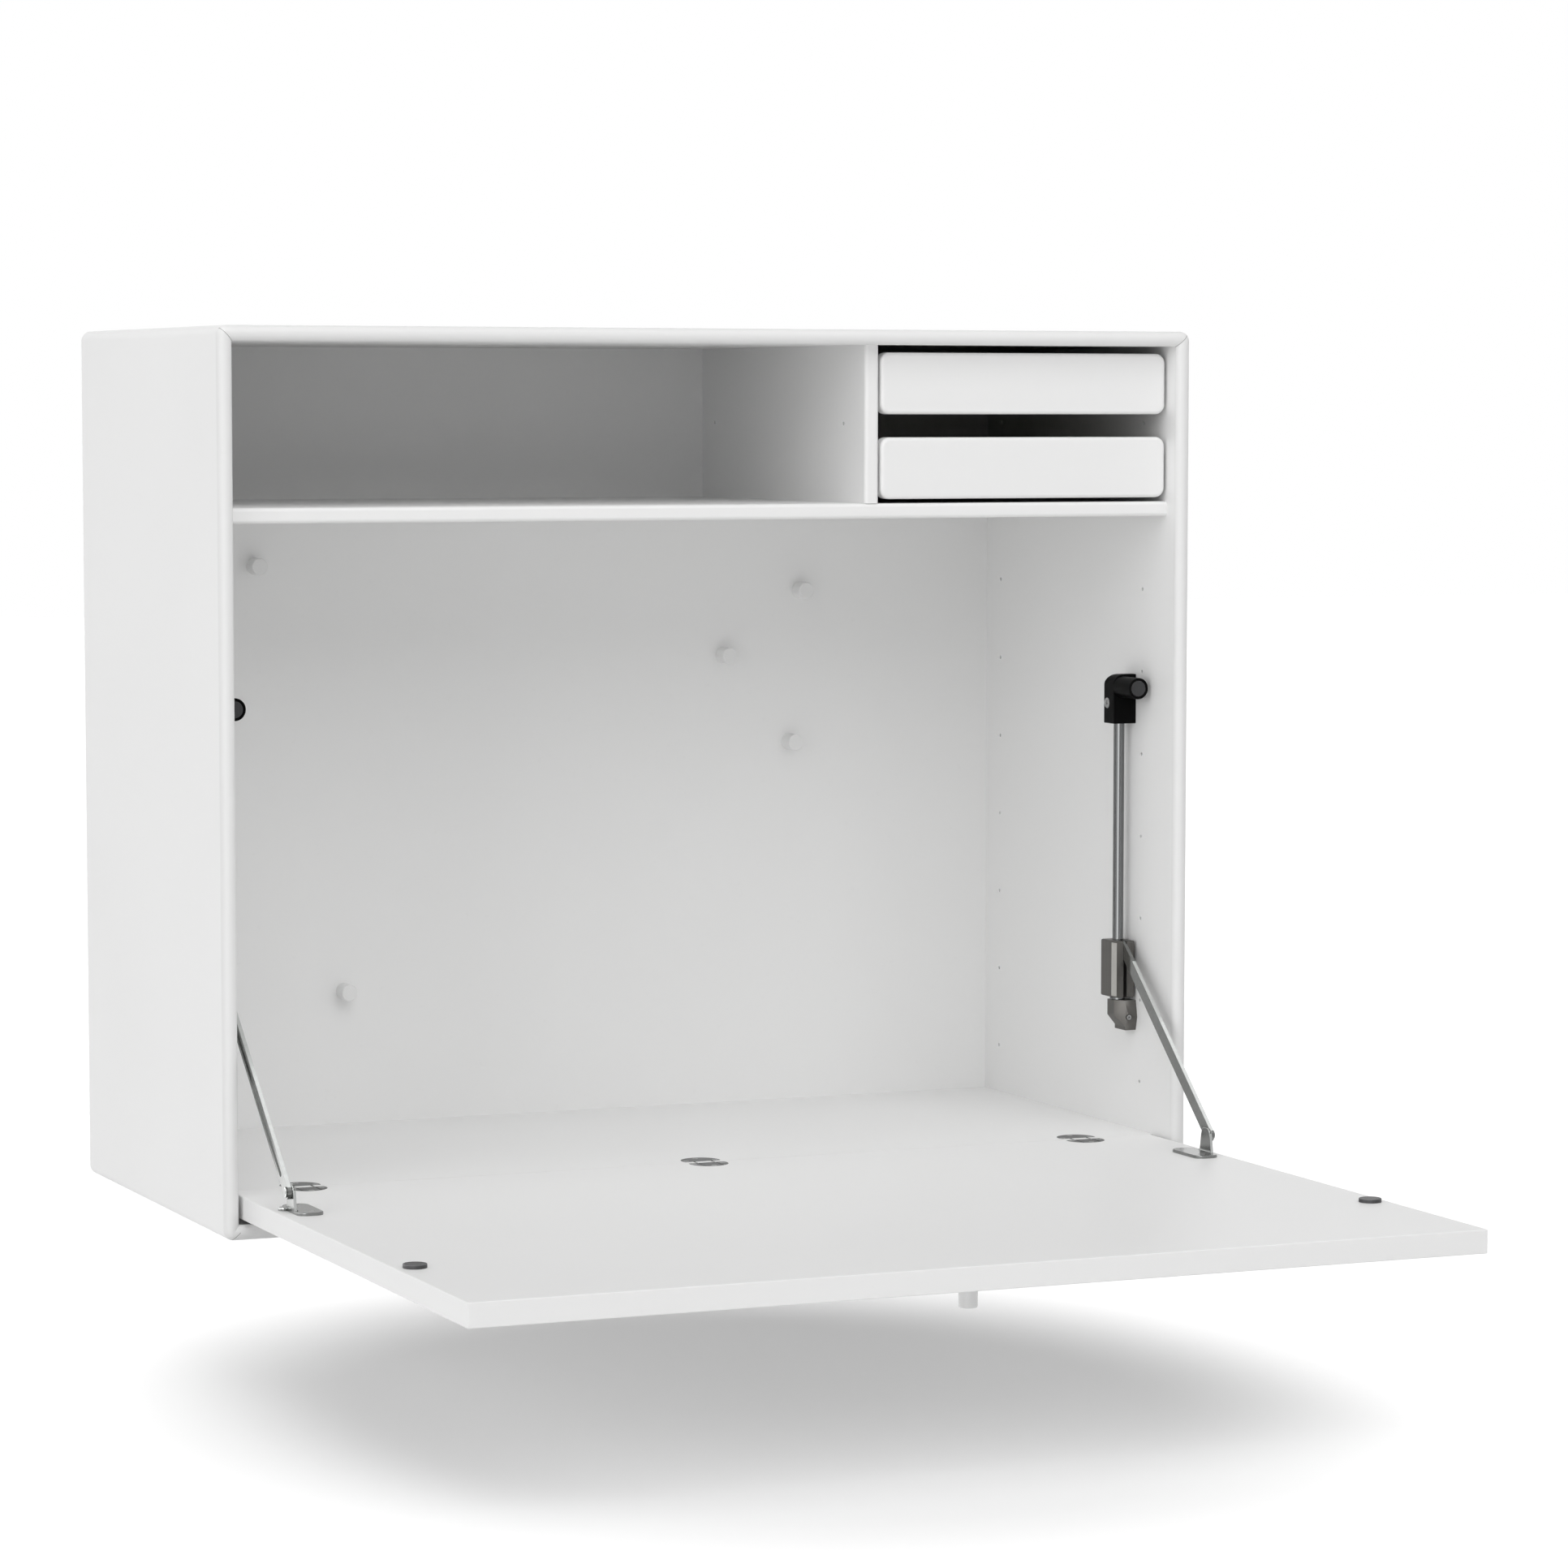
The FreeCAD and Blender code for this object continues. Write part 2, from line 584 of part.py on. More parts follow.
def tray_bottom(index):
    """The thin bottom inside the tray's walls."""
    x0, x1 = drawer_limits()
    low = drawer_low(index) + TRAY_LIFT + TRAY_BOTTOM_LIFT
    return box(x0 + TRAY_SIDE_T, x1 - TRAY_SIDE_T, SHELF_FRONT + DRAWER_FRONT_T,
               BACK_FACE - TRAY_REAR_GAP - TRAY_BACK_T, low, low + TRAY_BOTTOM_T)


def runner(index, wall_x, inward):
    """A strip on the compartment's wall that one side of a tray runs on."""
    mid = runner_height(index)
    x0, x1 = sorted((wall_x, wall_x + inward * RUNNER_REACH))
    return box(x0, x1, -RUNNER_END, -RUNNER_START, mid - RUNNER_H / 2, mid + RUNNER_H / 2)


def runner_screw_seats(index, wall_x, inward):
    """Two screws through each runner into the board behind it."""
    mid = runner_height(index)
    places = (RUNNER_START + RUNNER_SCREW_INSET, RUNNER_END - RUNNER_SCREW_INSET)
    return [Vector(wall_x + inward * RUNNER_REACH, -y, mid) for y in places]


# ---- Flap ------------------------------------------------------------------------------------

def flap_board():
    """The flap with its rounded heel, before pockets and holes."""
    board = box(-FLAP_HALF_W, FLAP_HALF_W, FLAP_FRONT, JOINT_Y, FLAP_TOP - FLAP_T, FLAP_TOP)
    heel = lambda edge: lies_at(edge, "y", JOINT_Y) and lies_at(edge, "z", FLAP_TOP - FLAP_T)
    board = soften(board, FLAP_HEEL_R, heel)
    sides = lambda edge: along(edge, "z") and lies_at(edge, "y", FLAP_FRONT)
    board = soften(board, FLAP_EDGE_R, sides)
    return soften(board, FLAP_EDGE_R, lambda edge: edge.BoundBox.YMax < JOINT_Y - FLAP_L / 2)


def knob():
    """A round knob on the flap's outer face, glued in by its spigot."""
    y = FLAP_FRONT + KNOB_FROM_EDGE
    face = Vector(0, y, FLAP_TOP - FLAP_T)
    grip = rod(KNOB_R, face, face - Vector(0, 0, KNOB_LEN))
    grip = soften(grip, KNOB_EDGE_R, lambda edge: lies_at(edge, "z", FLAP_TOP - FLAP_T - KNOB_LEN))
    return grip.fuse(rod(KNOB_SPIGOT_R, face, face + Vector(0, 0, KNOB_SPIGOT_LEN)))


def knob_hole():
    face = Vector(0, FLAP_FRONT + KNOB_FROM_EDGE, FLAP_TOP - FLAP_T)
    return rod(KNOB_SPIGOT_R, face, face + Vector(0, 0, KNOB_SPIGOT_LEN))


def disc_centre():
    """Middle of the right disc on the open flap: level with the barrel once the flap is closed."""
    from_end = BASE + BARREL_Z - CLOSED_LOW
    return Vector(INNER_X - DISC_INSET, JOINT_Y - from_end, FLAP_TOP)


def catch_disc():
    """A steel disc that the stay's magnet pulls on when the flap is closed."""
    centre = disc_centre()
    disc = rod(DISC_R, centre, centre + Vector(0, 0, DISC_T))
    disc = soften(disc, DISC_EDGE_R, lambda edge: lies_at(edge, "z", FLAP_TOP + DISC_T))
    return disc.fuse(disc_spigot())


def disc_spigot():
    centre = disc_centre()
    return rod(DISC_SPIGOT_R, centre - Vector(0, 0, DISC_SPIGOT_LEN), centre)


# ---- Hinges ----------------------------------------------------------------------------------

def cup_blank(x, way):
    """A round cup with a straight edge beside the joint; way is 1 behind the joint and -1 ahead."""
    centre = Vector(x, JOINT_Y + way * CUP_CENTRE, FLAP_TOP - CUP_DEPTH)
    cup = rod(CUP_R, centre, centre + Vector(0, 0, CUP_DEPTH))
    y0, y1 = sorted((JOINT_Y + way * CUP_SETBACK, JOINT_Y + way * 3 * CUP_R))
    return cup.common(box(x - 2 * CUP_R, x + 2 * CUP_R, y0, y1, FLAP_TOP - 2 * CUP_DEPTH, FLAP_TOP + 1))


def link_middles(x):
    return (x - LINK_X, x + LINK_X)


def link(mid_x):
    """A link plate: fixed in the rear cup, with its eye round the pivot pin in the front cup."""
    x0, x1 = mid_x - LINK_T / 2, mid_x + LINK_T / 2
    top = FLAP_TOP - LINK_SINK
    bar = box(x0, x1, PIVOT_Y, JOINT_Y + LINK_REACH, top - LINK_H, top)
    eye = rod(LINK_EYE_R, Vector(x0, PIVOT_Y, PIVOT_Z), Vector(x1, PIVOT_Y, PIVOT_Z))
    eye = eye.common(box(x0, x1, PIVOT_Y - CUP_R, PIVOT_Y + CUP_R, BASE, top))
    bore = rod(PIN_ROD_R + PIN_PLAY, Vector(x0, PIVOT_Y, PIVOT_Z), Vector(x1, PIVOT_Y, PIVOT_Z))
    return bar.fuse(eye).cut(bore)


def anchor_centre():
    """Y and Z of the pin that holds the links in the rear cup."""
    return JOINT_Y + ANCHOR_BACK, FLAP_TOP - LINK_SINK - LINK_H / 2


def short_pins(x, y, z):
    """Two short pins, one for each link of a hinge."""
    pins = []
    for side in (-1, 1):
        ends = (Vector(x + side * PIN_ROD_INNER, y, z), Vector(x + side * PIN_ROD_OUTER, y, z))
        pins.append(rod(PIN_ROD_R, *ends))
    return pins


def link_slots(x):
    """Slots in the flap's side of the hinge that let the links swing out of the surface."""
    half = LINK_T / 2 + LINK_SLOT_PLAY
    low = FLAP_TOP - LINK_SINK - LINK_H - LINK_SLOT_PLAY
    front = PIVOT_Y - LINK_EYE_R - LINK_SLOT_PLAY
    return [box(mid - half, mid + half, front, JOINT_Y, low, FLAP_TOP) for mid in link_middles(x)]


def rear_link_slots(x):
    """Slots in the floor board's edge that the links lie in."""
    half = LINK_T / 2 + LINK_SLOT_PLAY
    low = FLAP_TOP - LINK_SINK - LINK_H - LINK_SLOT_PLAY
    rear = JOINT_Y + CUP_SETBACK
    return [box(mid - half, mid + half, JOINT_Y, rear, low, FLAP_TOP) for mid in link_middles(x)]


def cup_screw_seats(x, way):
    """Three screws in each cup: one on each side and one in the middle."""
    y = JOINT_Y + way * CUP_CENTRE
    places = ((-CUP_SCREW_SIDE, 0), (CUP_SCREW_SIDE, 0), (0, way * CUP_SCREW_MID))
    return [Vector(x + dx, y + dy, FLAP_TOP) for dx, dy in places]


def hinge_parts(x, name):
    """One hinge: two cups, two links and their pins. Returns what the boards lose to it."""
    down = Vector(0, 0, -1)
    rear, front = cup_blank(x, 1), cup_blank(x, -1)
    links = [link(mid) for mid in link_middles(x)]
    anchors = short_pins(x, *anchor_centre())
    pivots = short_pins(x, PIVOT_Y, PIVOT_Z)
    rear_holes = [small_hole(seat, down, HINGE_SCREW_LEN) for seat in cup_screw_seats(x, 1)]
    front_holes = [small_hole(seat, down, HINGE_SCREW_LEN) for seat in cup_screw_seats(x, -1)]
    keep(name + "_hinge_rear_cup", rear.cut(links + anchors + rear_holes))
    keep(name + "_hinge_front_cup", front.cut(link_slots(x) + pivots + front_holes))
    keep(name + "_hinge_links", [item.cut(anchors) for item in links])
    in_floor = [rear] + rear_link_slots(x) + rear_holes
    in_flap = [front] + link_slots(x) + front_holes
    return anchors, pivots, in_floor, in_flap


# ---- Stays, drawn for the right-hand side ------------------------------------------------------

def elbow():
    """The bracket at the rod's upper end, with its top rounded inwards and backwards."""
    x0, x1 = INNER_X - ELBOW_REACH, INNER_X
    y0, y1 = -ROD_Y - ELBOW_D / 2, -ROD_Y + ELBOW_D / 2
    top_z = BASE + ELBOW_HIGH
    body = box(x0, x1, y0, y1, BASE + ELBOW_LOW, top_z)
    body = soften(body, ELBOW_ROUND, lambda edge: lies_at(edge, "z", top_z)
                  and (lies_at(edge, "y", y1) or lies_at(edge, "x", x0)))
    return soften(body, ELBOW_EDGE_R, lambda edge: lies_at(edge, "x", x0) and along(edge, "z"))


def barrel_ends():
    x, y = INNER_X - BARREL_OFF_WALL, -ROD_Y - ELBOW_D / 2
    return Vector(x, y, BASE + BARREL_Z), Vector(x, y - BARREL_LEN, BASE + BARREL_Z)


def barrel():
    """The barrel on the elbow's front, bored for its magnet."""
    start, end = barrel_ends()
    body = soften(rod(BARREL_R, start, end), BARREL_EDGE_R, lambda edge: lies_at(edge, "y", end.y))
    return body.cut(rod(MAGNET_R, end + Vector(0, MAGNET_LEN + MAGNET_SINK, 0), end - Vector(0, 1, 0)))


def magnet():
    end = barrel_ends()[1] + Vector(0, MAGNET_SINK, 0)
    return rod(MAGNET_R, end, end + Vector(0, MAGNET_LEN, 0))


def rod_bore():
    return rod(ROD_R, Vector(STAY_X, -ROD_Y, BASE + ROD_LOW), Vector(STAY_X, -ROD_Y, BASE + ROD_HIGH))


def guide_rod():
    """The rod, with the collar that the carriage comes down on."""
    seat = Vector(STAY_X, -ROD_Y, BASE + SOCKET_HIGH)
    return rod_bore().fuse(rod(COLLAR_R, seat, seat + Vector(0, 0, COLLAR_T)))


def socket():
    """The bracket at the rod's lower end: cut away below, cornered in plan, swollen in front."""
    x0, foot_x = INNER_X - SOCKET_REACH, INNER_X - SOCKET_FOOT
    y0, y1 = -ROD_Y - SOCKET_AHEAD, -ROD_Y + SOCKET_BEHIND
    nose = y0 - SOCKET_NOSE
    front = [(INNER_X, SOCKET_HIGH), (x0, SOCKET_HIGH), (x0, SOCKET_CHAMFER_Z),
             (foot_x, SOCKET_FOOT_Z), (foot_x, SOCKET_LOW), (INNER_X, SOCKET_LOW)]
    plan = [(INNER_X, nose), (x0 + SOCKET_CORNER, nose), (x0 + SOCKET_CORNER, y0),
            (x0, y0 + SOCKET_CORNER), (x0, y1), (INNER_X, y1)]
    side = [(y1, SOCKET_LOW), (y0, SOCKET_LOW), (nose, SOCKET_NOSE_Z), (y0, SOCKET_HIGH),
            (y1, SOCKET_HIGH)]
    body = prism([Vector(x, nose, BASE + z) for x, z in front], Vector(0, y1 - nose, 0))
    body = body.common(prism([Vector(x, y, BASE) for x, y in plan], Vector(0, 0, CABINET_H)))
    body = body.common(prism([Vector(x0, y, BASE + z) for y, z in side], Vector(SOCKET_REACH, 0, 0)))
    return body.fuse(socket_spigot())


def socket_spigot():
    """The lower bracket's round spigot in the side panel."""
    face = Vector(INNER_X, -ROD_Y, BASE + SOCKET_SPIGOT_Z)
    return rod(SOCKET_SPIGOT_R, face, face + Vector(SOCKET_SPIGOT_LEN, 0, 0))


def clamp_face():
    """Where the grub screw in the lower bracket's front has its outer end."""
    return Vector(STAY_X + CLAMP_OUT, -ROD_Y - SOCKET_AHEAD - SOCKET_NOSE, BASE + SOCKET_NOSE_Z)


def clamp_bore():
    return rod(CLAMP_R, clamp_face(), clamp_face() + Vector(0, CLAMP_LEN, 0))


def elbow_screw_seat():
    return Vector(INNER_X - ELBOW_REACH, -ROD_Y + ELBOW_SCREW_BEHIND, BASE + ELBOW_SCREW_Z)


def stay_brackets():
    """Upper and lower brackets, rod and screws. Returns the holes in the side panel."""
    out = Vector(1, 0, 0)
    fixing = (elbow_screw_seat(), out, ELBOW_REACH + PANEL_BITE, WALL_HEAD_R, WALL_HEAD_T, WALL_SHANK_R)
    hole = screw_hole(*fixing)
    both_sides("stay_elbow", elbow().cut([rod_bore(), hole]))
    both_sides("stay_barrel", barrel())
    keep_group("stay_magnets", [magnet()])
    both_sides("stay_guide_rod", guide_rod())
    both_sides("stay_socket", socket().cut([rod_bore(), clamp_bore()]))
    clamp = clamp_bore().cut(cross_recess(clamp_face(), Vector(0, 1, 0), CLAMP_R))
    keep_group("stay_bracket_screws", [screw(*fixing), clamp])
    return [hole, socket_spigot()]


def keep_group(name, right_hand):
    """Stores right-hand pieces and their left-hand twins in one node."""
    keep(name, right_hand + [mirrored(item) for item in right_hand])


def carriage():
    """The ribbed block that slides on the rod, chamfered inside and slotted in front for the arm."""
    x0, x1 = STAY_X - CARRIAGE_W / 2, STAY_X + CARRIAGE_W / 2
    y0, y1 = -ROD_Y - CARRIAGE_AHEAD, -ROD_Y + CARRIAGE_BEHIND
    z0, z1 = BASE + CARRIAGE_LOW, BASE + CARRIAGE_LOW + CARRIAGE_H
    block = box(x0, x1, y0, y1, z0, z1)
    corner = [edge for edge in block.Edges if lies_at(edge, "x", x0) and lies_at(edge, "y", y0)]
    block = block.makeChamfer(CARRIAGE_CHAMFER, corner)
    block = soften(block, CARRIAGE_EDGE_R, lambda edge: not along(edge, "z") or edge.BoundBox.XMin > STAY_X)
    axis = (Vector(STAY_X, -ROD_Y, z0), Vector(STAY_X, -ROD_Y, z1))
    half = ARM_T / 2 + ARM_PLAY
    tools = [rod(ROD_R + PIN_PLAY, *axis), box(STAY_X - half, STAY_X + half, y0, -ROD_Y, z0, z1)]
    return block.cut(tools + carriage_ribs(x0, y0, y1, z0, z1) + rivet_halves(RIVET_R, RIVET_HEAD_R))


def carriage_ribs(x0, y0, y1, z0, z1):
    """Grooves down the carriage's inner face."""
    step = (y1 - y0) / (RIB_COUNT + 1)
    middles = [y0 + step * (index + 1) for index in range(RIB_COUNT)]
    return [box(x0, x0 + RIB_DEPTH, y - RIB_W / 2, y + RIB_W / 2, z0, z1) for y in middles]


def rivet_halves(shank_r, head_r):
    """The rivet's two ends, one in each cheek; they stop at the slot, clear of the arm."""
    halves = []
    for side in (-1, 1):
        face = ARM_TOP + Vector(side * CARRIAGE_W / 2, 0, 0)
        inner = ARM_TOP + Vector(side * (ARM_T / 2 + ARM_PLAY), 0, 0)
        seat = face - Vector(side * RIVET_HEAD_T, 0, 0)
        halves.append(rod(head_r, seat, face).fuse(rod(shank_r, inner, seat)))
    return halves


def arm():
    """The flat arm between the carriage and the foot, grooved along its outer face."""
    down = STUD - ARM_TOP
    length = down.Length
    x0 = STAY_X - ARM_T / 2
    thick = Vector(ARM_T, 0, 0)
    way = Vector(down).normalize()
    across = way.cross(Vector(1, 0, 0))
    start, end = Vector(x0, ARM_TOP.y, ARM_TOP.z), Vector(x0, STUD.y, STUD.z)
    top, low = ARM_TOP_EYE_R, ARM_W / 2
    throat = start + way * (2 * ARM_W)
    outline = [start + across * top, throat + across * low, end + across * low,
               end - across * low, throat - across * low, start - across * top]
    body = prism(outline, thick)
    body = body.fuse([rod(top, start, start + thick), rod(low, end, end + thick)])
    near, far = start + way * (2 * ARM_GROOVE_END), start + way * (length - ARM_GROOVE_END)
    half = across * (ARM_GROOVE_W / 2)
    deep = Vector(ARM_T - ARM_GROOVE_DEPTH, 0, 0)
    groove = prism([near + half + deep, far + half + deep, far - half + deep, near - half + deep],
                   Vector(ARM_GROOVE_DEPTH, 0, 0))
    return body.cut([groove, rod(STUD_R + PIN_PLAY, end, end + thick)])


def tab_outline(x):
    """The tapered tab beside the arm, seen from the side."""
    low, high = FLAP_TOP + FOOT_T, STUD.z + TAB_OVER
    return [Vector(x, STUD.y - TAB_BASE / 2, low), Vector(x, STUD.y + TAB_BASE / 2, low),
            Vector(x, STUD.y + TAB_TOP / 2, high), Vector(x, STUD.y - TAB_TOP / 2, high)]


def foot():
    """The rounded plate on the flap, with a lug, whose outer edge turns up into a tab."""
    x1 = STAY_X - ARM_T / 2 - TAB_GAP
    x0 = x1 - FOOT_W
    tab_x = x1 - TAB_T
    y0, y1 = -FOOT_Y - FOOT_L / 2, -FOOT_Y + FOOT_L / 2
    plate = soften(box(x0, x1, y0, y1, FLAP_TOP, FLAP_TOP + FOOT_T), FOOT_R, lambda edge: along(edge, "z"))
    tab = prism(tab_outline(tab_x), Vector(TAB_T, 0, 0))
    top = STUD.z + TAB_OVER
    tab = soften(tab, TAB_TOP / 3, lambda edge: along(edge, "x") and lies_at(edge, "z", top))
    seats = foot_screw_seats()
    lug = rod(FOOT_LUG_R, seats[2] - Vector(0, 0, FOOT_T), seats[2])
    holes = [small_hole(seat, Vector(0, 0, -1), FOOT_SCREW_LEN) for seat in seats]
    return plate.fuse([tab, lug]).cut(holes + [rod(STUD_R, STUD - Vector(FOOT_W, 0, 0), STUD)])


def foot_screw_seats():
    """Two screws in the plate, one behind the other, and one in the lug."""
    edge = STAY_X - ARM_T / 2 - TAB_GAP
    inner = edge - FOOT_W + FOOT_SCREW_INSET
    places = ((inner, FOOT_SCREW_REAR), (inner, -FOOT_SCREW_FRONT), (edge + FOOT_LUG_OUT, FOOT_LUG_REAR))
    return [Vector(x, -FOOT_Y + dy, FLAP_TOP + FOOT_T) for x, dy in places]


def foot_stud():
    """The stud in the tab that the arm turns on."""
    tab_face = STUD - Vector(ARM_T / 2 + TAB_GAP + TAB_T, 0, 0)
    head = STUD + Vector(ARM_T / 2 + ARM_PLAY, 0, 0)
    shank = rod(STUD_R, tab_face, head)
    return shank.fuse(rod(STUD_HEAD_R, head, head + Vector(STUD_HEAD_T, 0, 0)))


def stay_foot_parts():
    """Foot, stud and screws. Returns the holes in the flap."""
    down = Vector(0, 0, -1)
    both_sides("stay_foot", foot())
    keep_group("stay_foot_studs", [foot_stud()])
    keep_group("stay_foot_screws", [small_screw(seat, down, FOOT_SCREW_LEN) for seat in foot_screw_seats()])
    holes = [small_hole(seat, down, FOOT_SCREW_LEN) for seat in foot_screw_seats()]
    return holes + [mirrored(item) for item in holes]


# ---- Putting it together ---------------------------------------------------------------------

def make_wall_fixing():
    back = Vector(0, -1, 0)
    seats = back_screw_seats()
    holes = [screw_hole(seat, back, length) for seat, length in seats]
    keep("wall_rail", wall_rail())
    keep("hanger_rail", hanger_rail().cut(holes))
    keep("lower_spacer", spacer().cut(holes))
    keep("back_screws", [screw(seat, back, length) for seat, length in seats])
    return holes


def make_drawers():
    """Drawers and runners. Returns the screw holes in the divider and the right panel."""
    holes, screws = [], []
    for index, name in enumerate(("lower", "upper")):
        keep(name + "_drawer_front", drawer_front(index))
        keep(name + "_drawer_walls", tray_walls(index))
        keep(name + "_drawer_bottom", tray_bottom(index))
        strips = []
        for wall_x, inward in ((DIVIDER_RIGHT, 1), (INNER_X, -1)):
            into = Vector(-inward, 0, 0)
            seats = runner_screw_seats(index, wall_x, inward)
            own = [small_hole(seat, into, RUNNER_SCREW_LEN) for seat in seats]
            screws += [small_screw(seat, into, RUNNER_SCREW_LEN) for seat in seats]
            strips.append(runner(index, wall_x, inward).cut(own))
            holes += own
        keep(name + "_drawer_runners", strips)
    keep("runner_screws", screws)
    return holes


def make_hinges():
    """All three hinges. Returns what the floor board and the flap lose to them."""
    floor_cuts, flap_cuts, anchors, pivots = [], [], [], []
    for x, name in zip(HINGE_X, HINGE_NAMES):
        own_anchors, own_pivots, in_floor, in_flap = hinge_parts(x, name)
        anchors += own_anchors
        pivots += own_pivots
        floor_cuts += in_floor
        flap_cuts += in_flap
    down = Vector(0, 0, -1)
    for label, way in (("rear", 1), ("front", -1)):
        seats = [seat for x in HINGE_X for seat in cup_screw_seats(x, way)]
        keep("hinge_" + label + "_screws", [small_screw(seat, down, HINGE_SCREW_LEN) for seat in seats])
    keep("hinge_anchor_pins", anchors)
    keep("hinge_pivot_pins", pivots)
    return floor_cuts, flap_cuts


def make_carcass(back_holes, drawer_holes, stay_holes, floor_cuts):
    left, right, top, bottom = carcass_panels()
    dowels = panel_dowels()
    rows = side_pin_rows()
    left_stay_holes = [mirrored(item) for item in stay_holes]
    keep("left_side_panel", left.cut(pin_holes(-INNER_X, -1, rows) + dowels + left_stay_holes))
    keep("right_side_panel", right.cut(pin_holes(INNER_X, 1, rows) + dowels + stay_holes + drawer_holes))
    keep("top_panel", top.cut(dowels))
    keep("bottom_panel", bottom.cut(heel_groove()))
    keep("back_panel", back_panel_blank().cut(peg_holes() + back_holes))
    keep("middle_shelf", flat_board(-INNER_X, INNER_X, SHELF_LOW, SHELF_HIGH).cut(dowels))
    divider = upright_board(DIVIDER_X, DIVIDER_RIGHT, SHELF_HIGH, INNER_HIGH)
    divider_pins = pin_holes(DIVIDER_X, 1, free_pin_rows(SHELF_HIGH, INNER_HIGH))
    keep("niche_divider", divider.cut(dowels + divider_pins + drawer_holes))
    floor = box(-INNER_X, INNER_X, JOINT_Y + JOINT_GAP, BACK_FACE, INNER_LOW, FLAP_TOP)
    keep("floor_board", floor.cut(floor_cuts))
    keep("panel_dowels", dowels)
    keep("back_pegs", back_pegs())


def make_flap(flap_cuts, foot_holes):
    spigots = [disc_spigot(), mirrored(disc_spigot())]
    keep("flap_board", flap_board().cut(flap_cuts + foot_holes + spigots + [knob_hole()]))
    keep("flap_knob", knob())
    keep_group("catch_discs", [catch_disc()])


def make_moving_stay():
    both_sides("stay_carriage", carriage())
    both_sides("stay_rivet", rivet_halves(RIVET_R, RIVET_HEAD_R))
    both_sides("stay_arm", arm())


def closed_motion():
    """How far the carriage climbs and the arm turns as the flap closes."""
    pivot = Vector(STAY_X, PIVOT_Y, PIVOT_Z)
    out = STUD - pivot
    closed_stud = pivot + Vector(0, out.z, -out.y)
    reach = (STUD - ARM_TOP).Length
    rise = math.sqrt(reach ** 2 - (closed_stud.y - ARM_TOP.y) ** 2)
    climb = closed_stud.z + rise - ARM_TOP.z
    opened = math.atan2(ARM_TOP.z - STUD.z, ARM_TOP.y - STUD.y)
    closed = math.atan2(rise, ARM_TOP.y - closed_stud.y)
    return climb, 90 + math.degrees(closed - opened)


def main():
    back_holes = make_wall_fixing()
    drawer_holes = make_drawers()
    stay_holes = stay_brackets()
    floor_cuts, flap_cuts = make_hinges()
    make_carcass(back_holes, drawer_holes, stay_holes, floor_cuts)
    make_flap(flap_cuts, stay_foot_parts())
    make_moving_stay()
    os.makedirs("parts", exist_ok=True)
    for name, solids in PARTS.items():
        shape = solids[0] if len(solids) == 1 else Part.makeCompound(solids)
        shape.exportStep(os.path.join("parts", name + ".step"))
    climb, swing = closed_motion()
    print(len(PARTS), "nodes,", sum(len(solids) for solids in PARTS.values()), "solids")
    print("pivot", round(PIVOT_Y, 4), round(PIVOT_Z, 4), "stud", STUD.y, STUD.z)
    print("carriage climbs", round(climb, 4), "arm turns", round(swing, 4))


main()
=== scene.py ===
# %% [markdown]
# # Fold down wall desk
# A shallow white cabinet hangs on a wall rail. Its front folds down into a writing surface that is
# held by a steel stay on each side. The measured model is loaded as a fixed frame. This lesson gives
# it its finishes, and remakes the small metal and plastic parts with the roundings of real ones.

# %% Load the measured frame
import json
import math

import bmesh
import bpy
from mathutils import Matrix, Vector


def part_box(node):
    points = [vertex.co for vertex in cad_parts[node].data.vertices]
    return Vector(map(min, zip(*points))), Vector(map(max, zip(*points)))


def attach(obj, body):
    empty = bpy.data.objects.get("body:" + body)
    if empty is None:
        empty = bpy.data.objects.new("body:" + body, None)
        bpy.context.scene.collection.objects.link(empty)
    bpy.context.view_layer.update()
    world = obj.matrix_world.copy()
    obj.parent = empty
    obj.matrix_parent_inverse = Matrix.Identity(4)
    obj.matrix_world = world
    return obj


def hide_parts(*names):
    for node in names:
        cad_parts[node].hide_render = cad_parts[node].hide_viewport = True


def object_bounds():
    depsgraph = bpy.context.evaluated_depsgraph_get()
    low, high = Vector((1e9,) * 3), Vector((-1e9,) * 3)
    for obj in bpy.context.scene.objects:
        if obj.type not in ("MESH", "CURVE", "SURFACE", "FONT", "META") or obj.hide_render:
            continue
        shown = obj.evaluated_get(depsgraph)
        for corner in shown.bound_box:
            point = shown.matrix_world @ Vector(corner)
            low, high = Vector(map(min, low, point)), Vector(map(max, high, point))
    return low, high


MM = 0.001

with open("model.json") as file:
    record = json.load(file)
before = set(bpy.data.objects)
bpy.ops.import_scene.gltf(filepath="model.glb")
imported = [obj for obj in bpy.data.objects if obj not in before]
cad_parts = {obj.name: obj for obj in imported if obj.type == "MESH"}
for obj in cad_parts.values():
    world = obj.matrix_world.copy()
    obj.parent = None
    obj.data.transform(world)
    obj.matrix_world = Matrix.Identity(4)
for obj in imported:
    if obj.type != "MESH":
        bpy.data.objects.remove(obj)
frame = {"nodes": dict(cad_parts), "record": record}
nodes = frame["nodes"]
cad_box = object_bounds()
scene = bpy.context.scene
print("nodes", len(nodes), "box in mm", [[round(v / MM, 1) for v in corner] for corner in cad_box])

# %% [markdown]
# ## Camera
# The desk is looked at from its left and slightly above, from four metres away with a long lens, so
# that its upright edges stay almost upright. The camera is turned by a matrix made of its own right,
# up and backward directions, which is exact and needs no helper object.

# %% Camera
CAMERA_PLACE = Vector((-1.55485, -4.11454, -0.00601))
CAMERA_YAW = math.radians(-23.2865)
CAMERA_PITCH = math.radians(-4.8149)
CAMERA_ROLL = math.radians(0.0386)
SENSOR_MM = 36.0
LENS_MM = 118.116
LENS_SHIFT = (-0.00104, 0.03653)

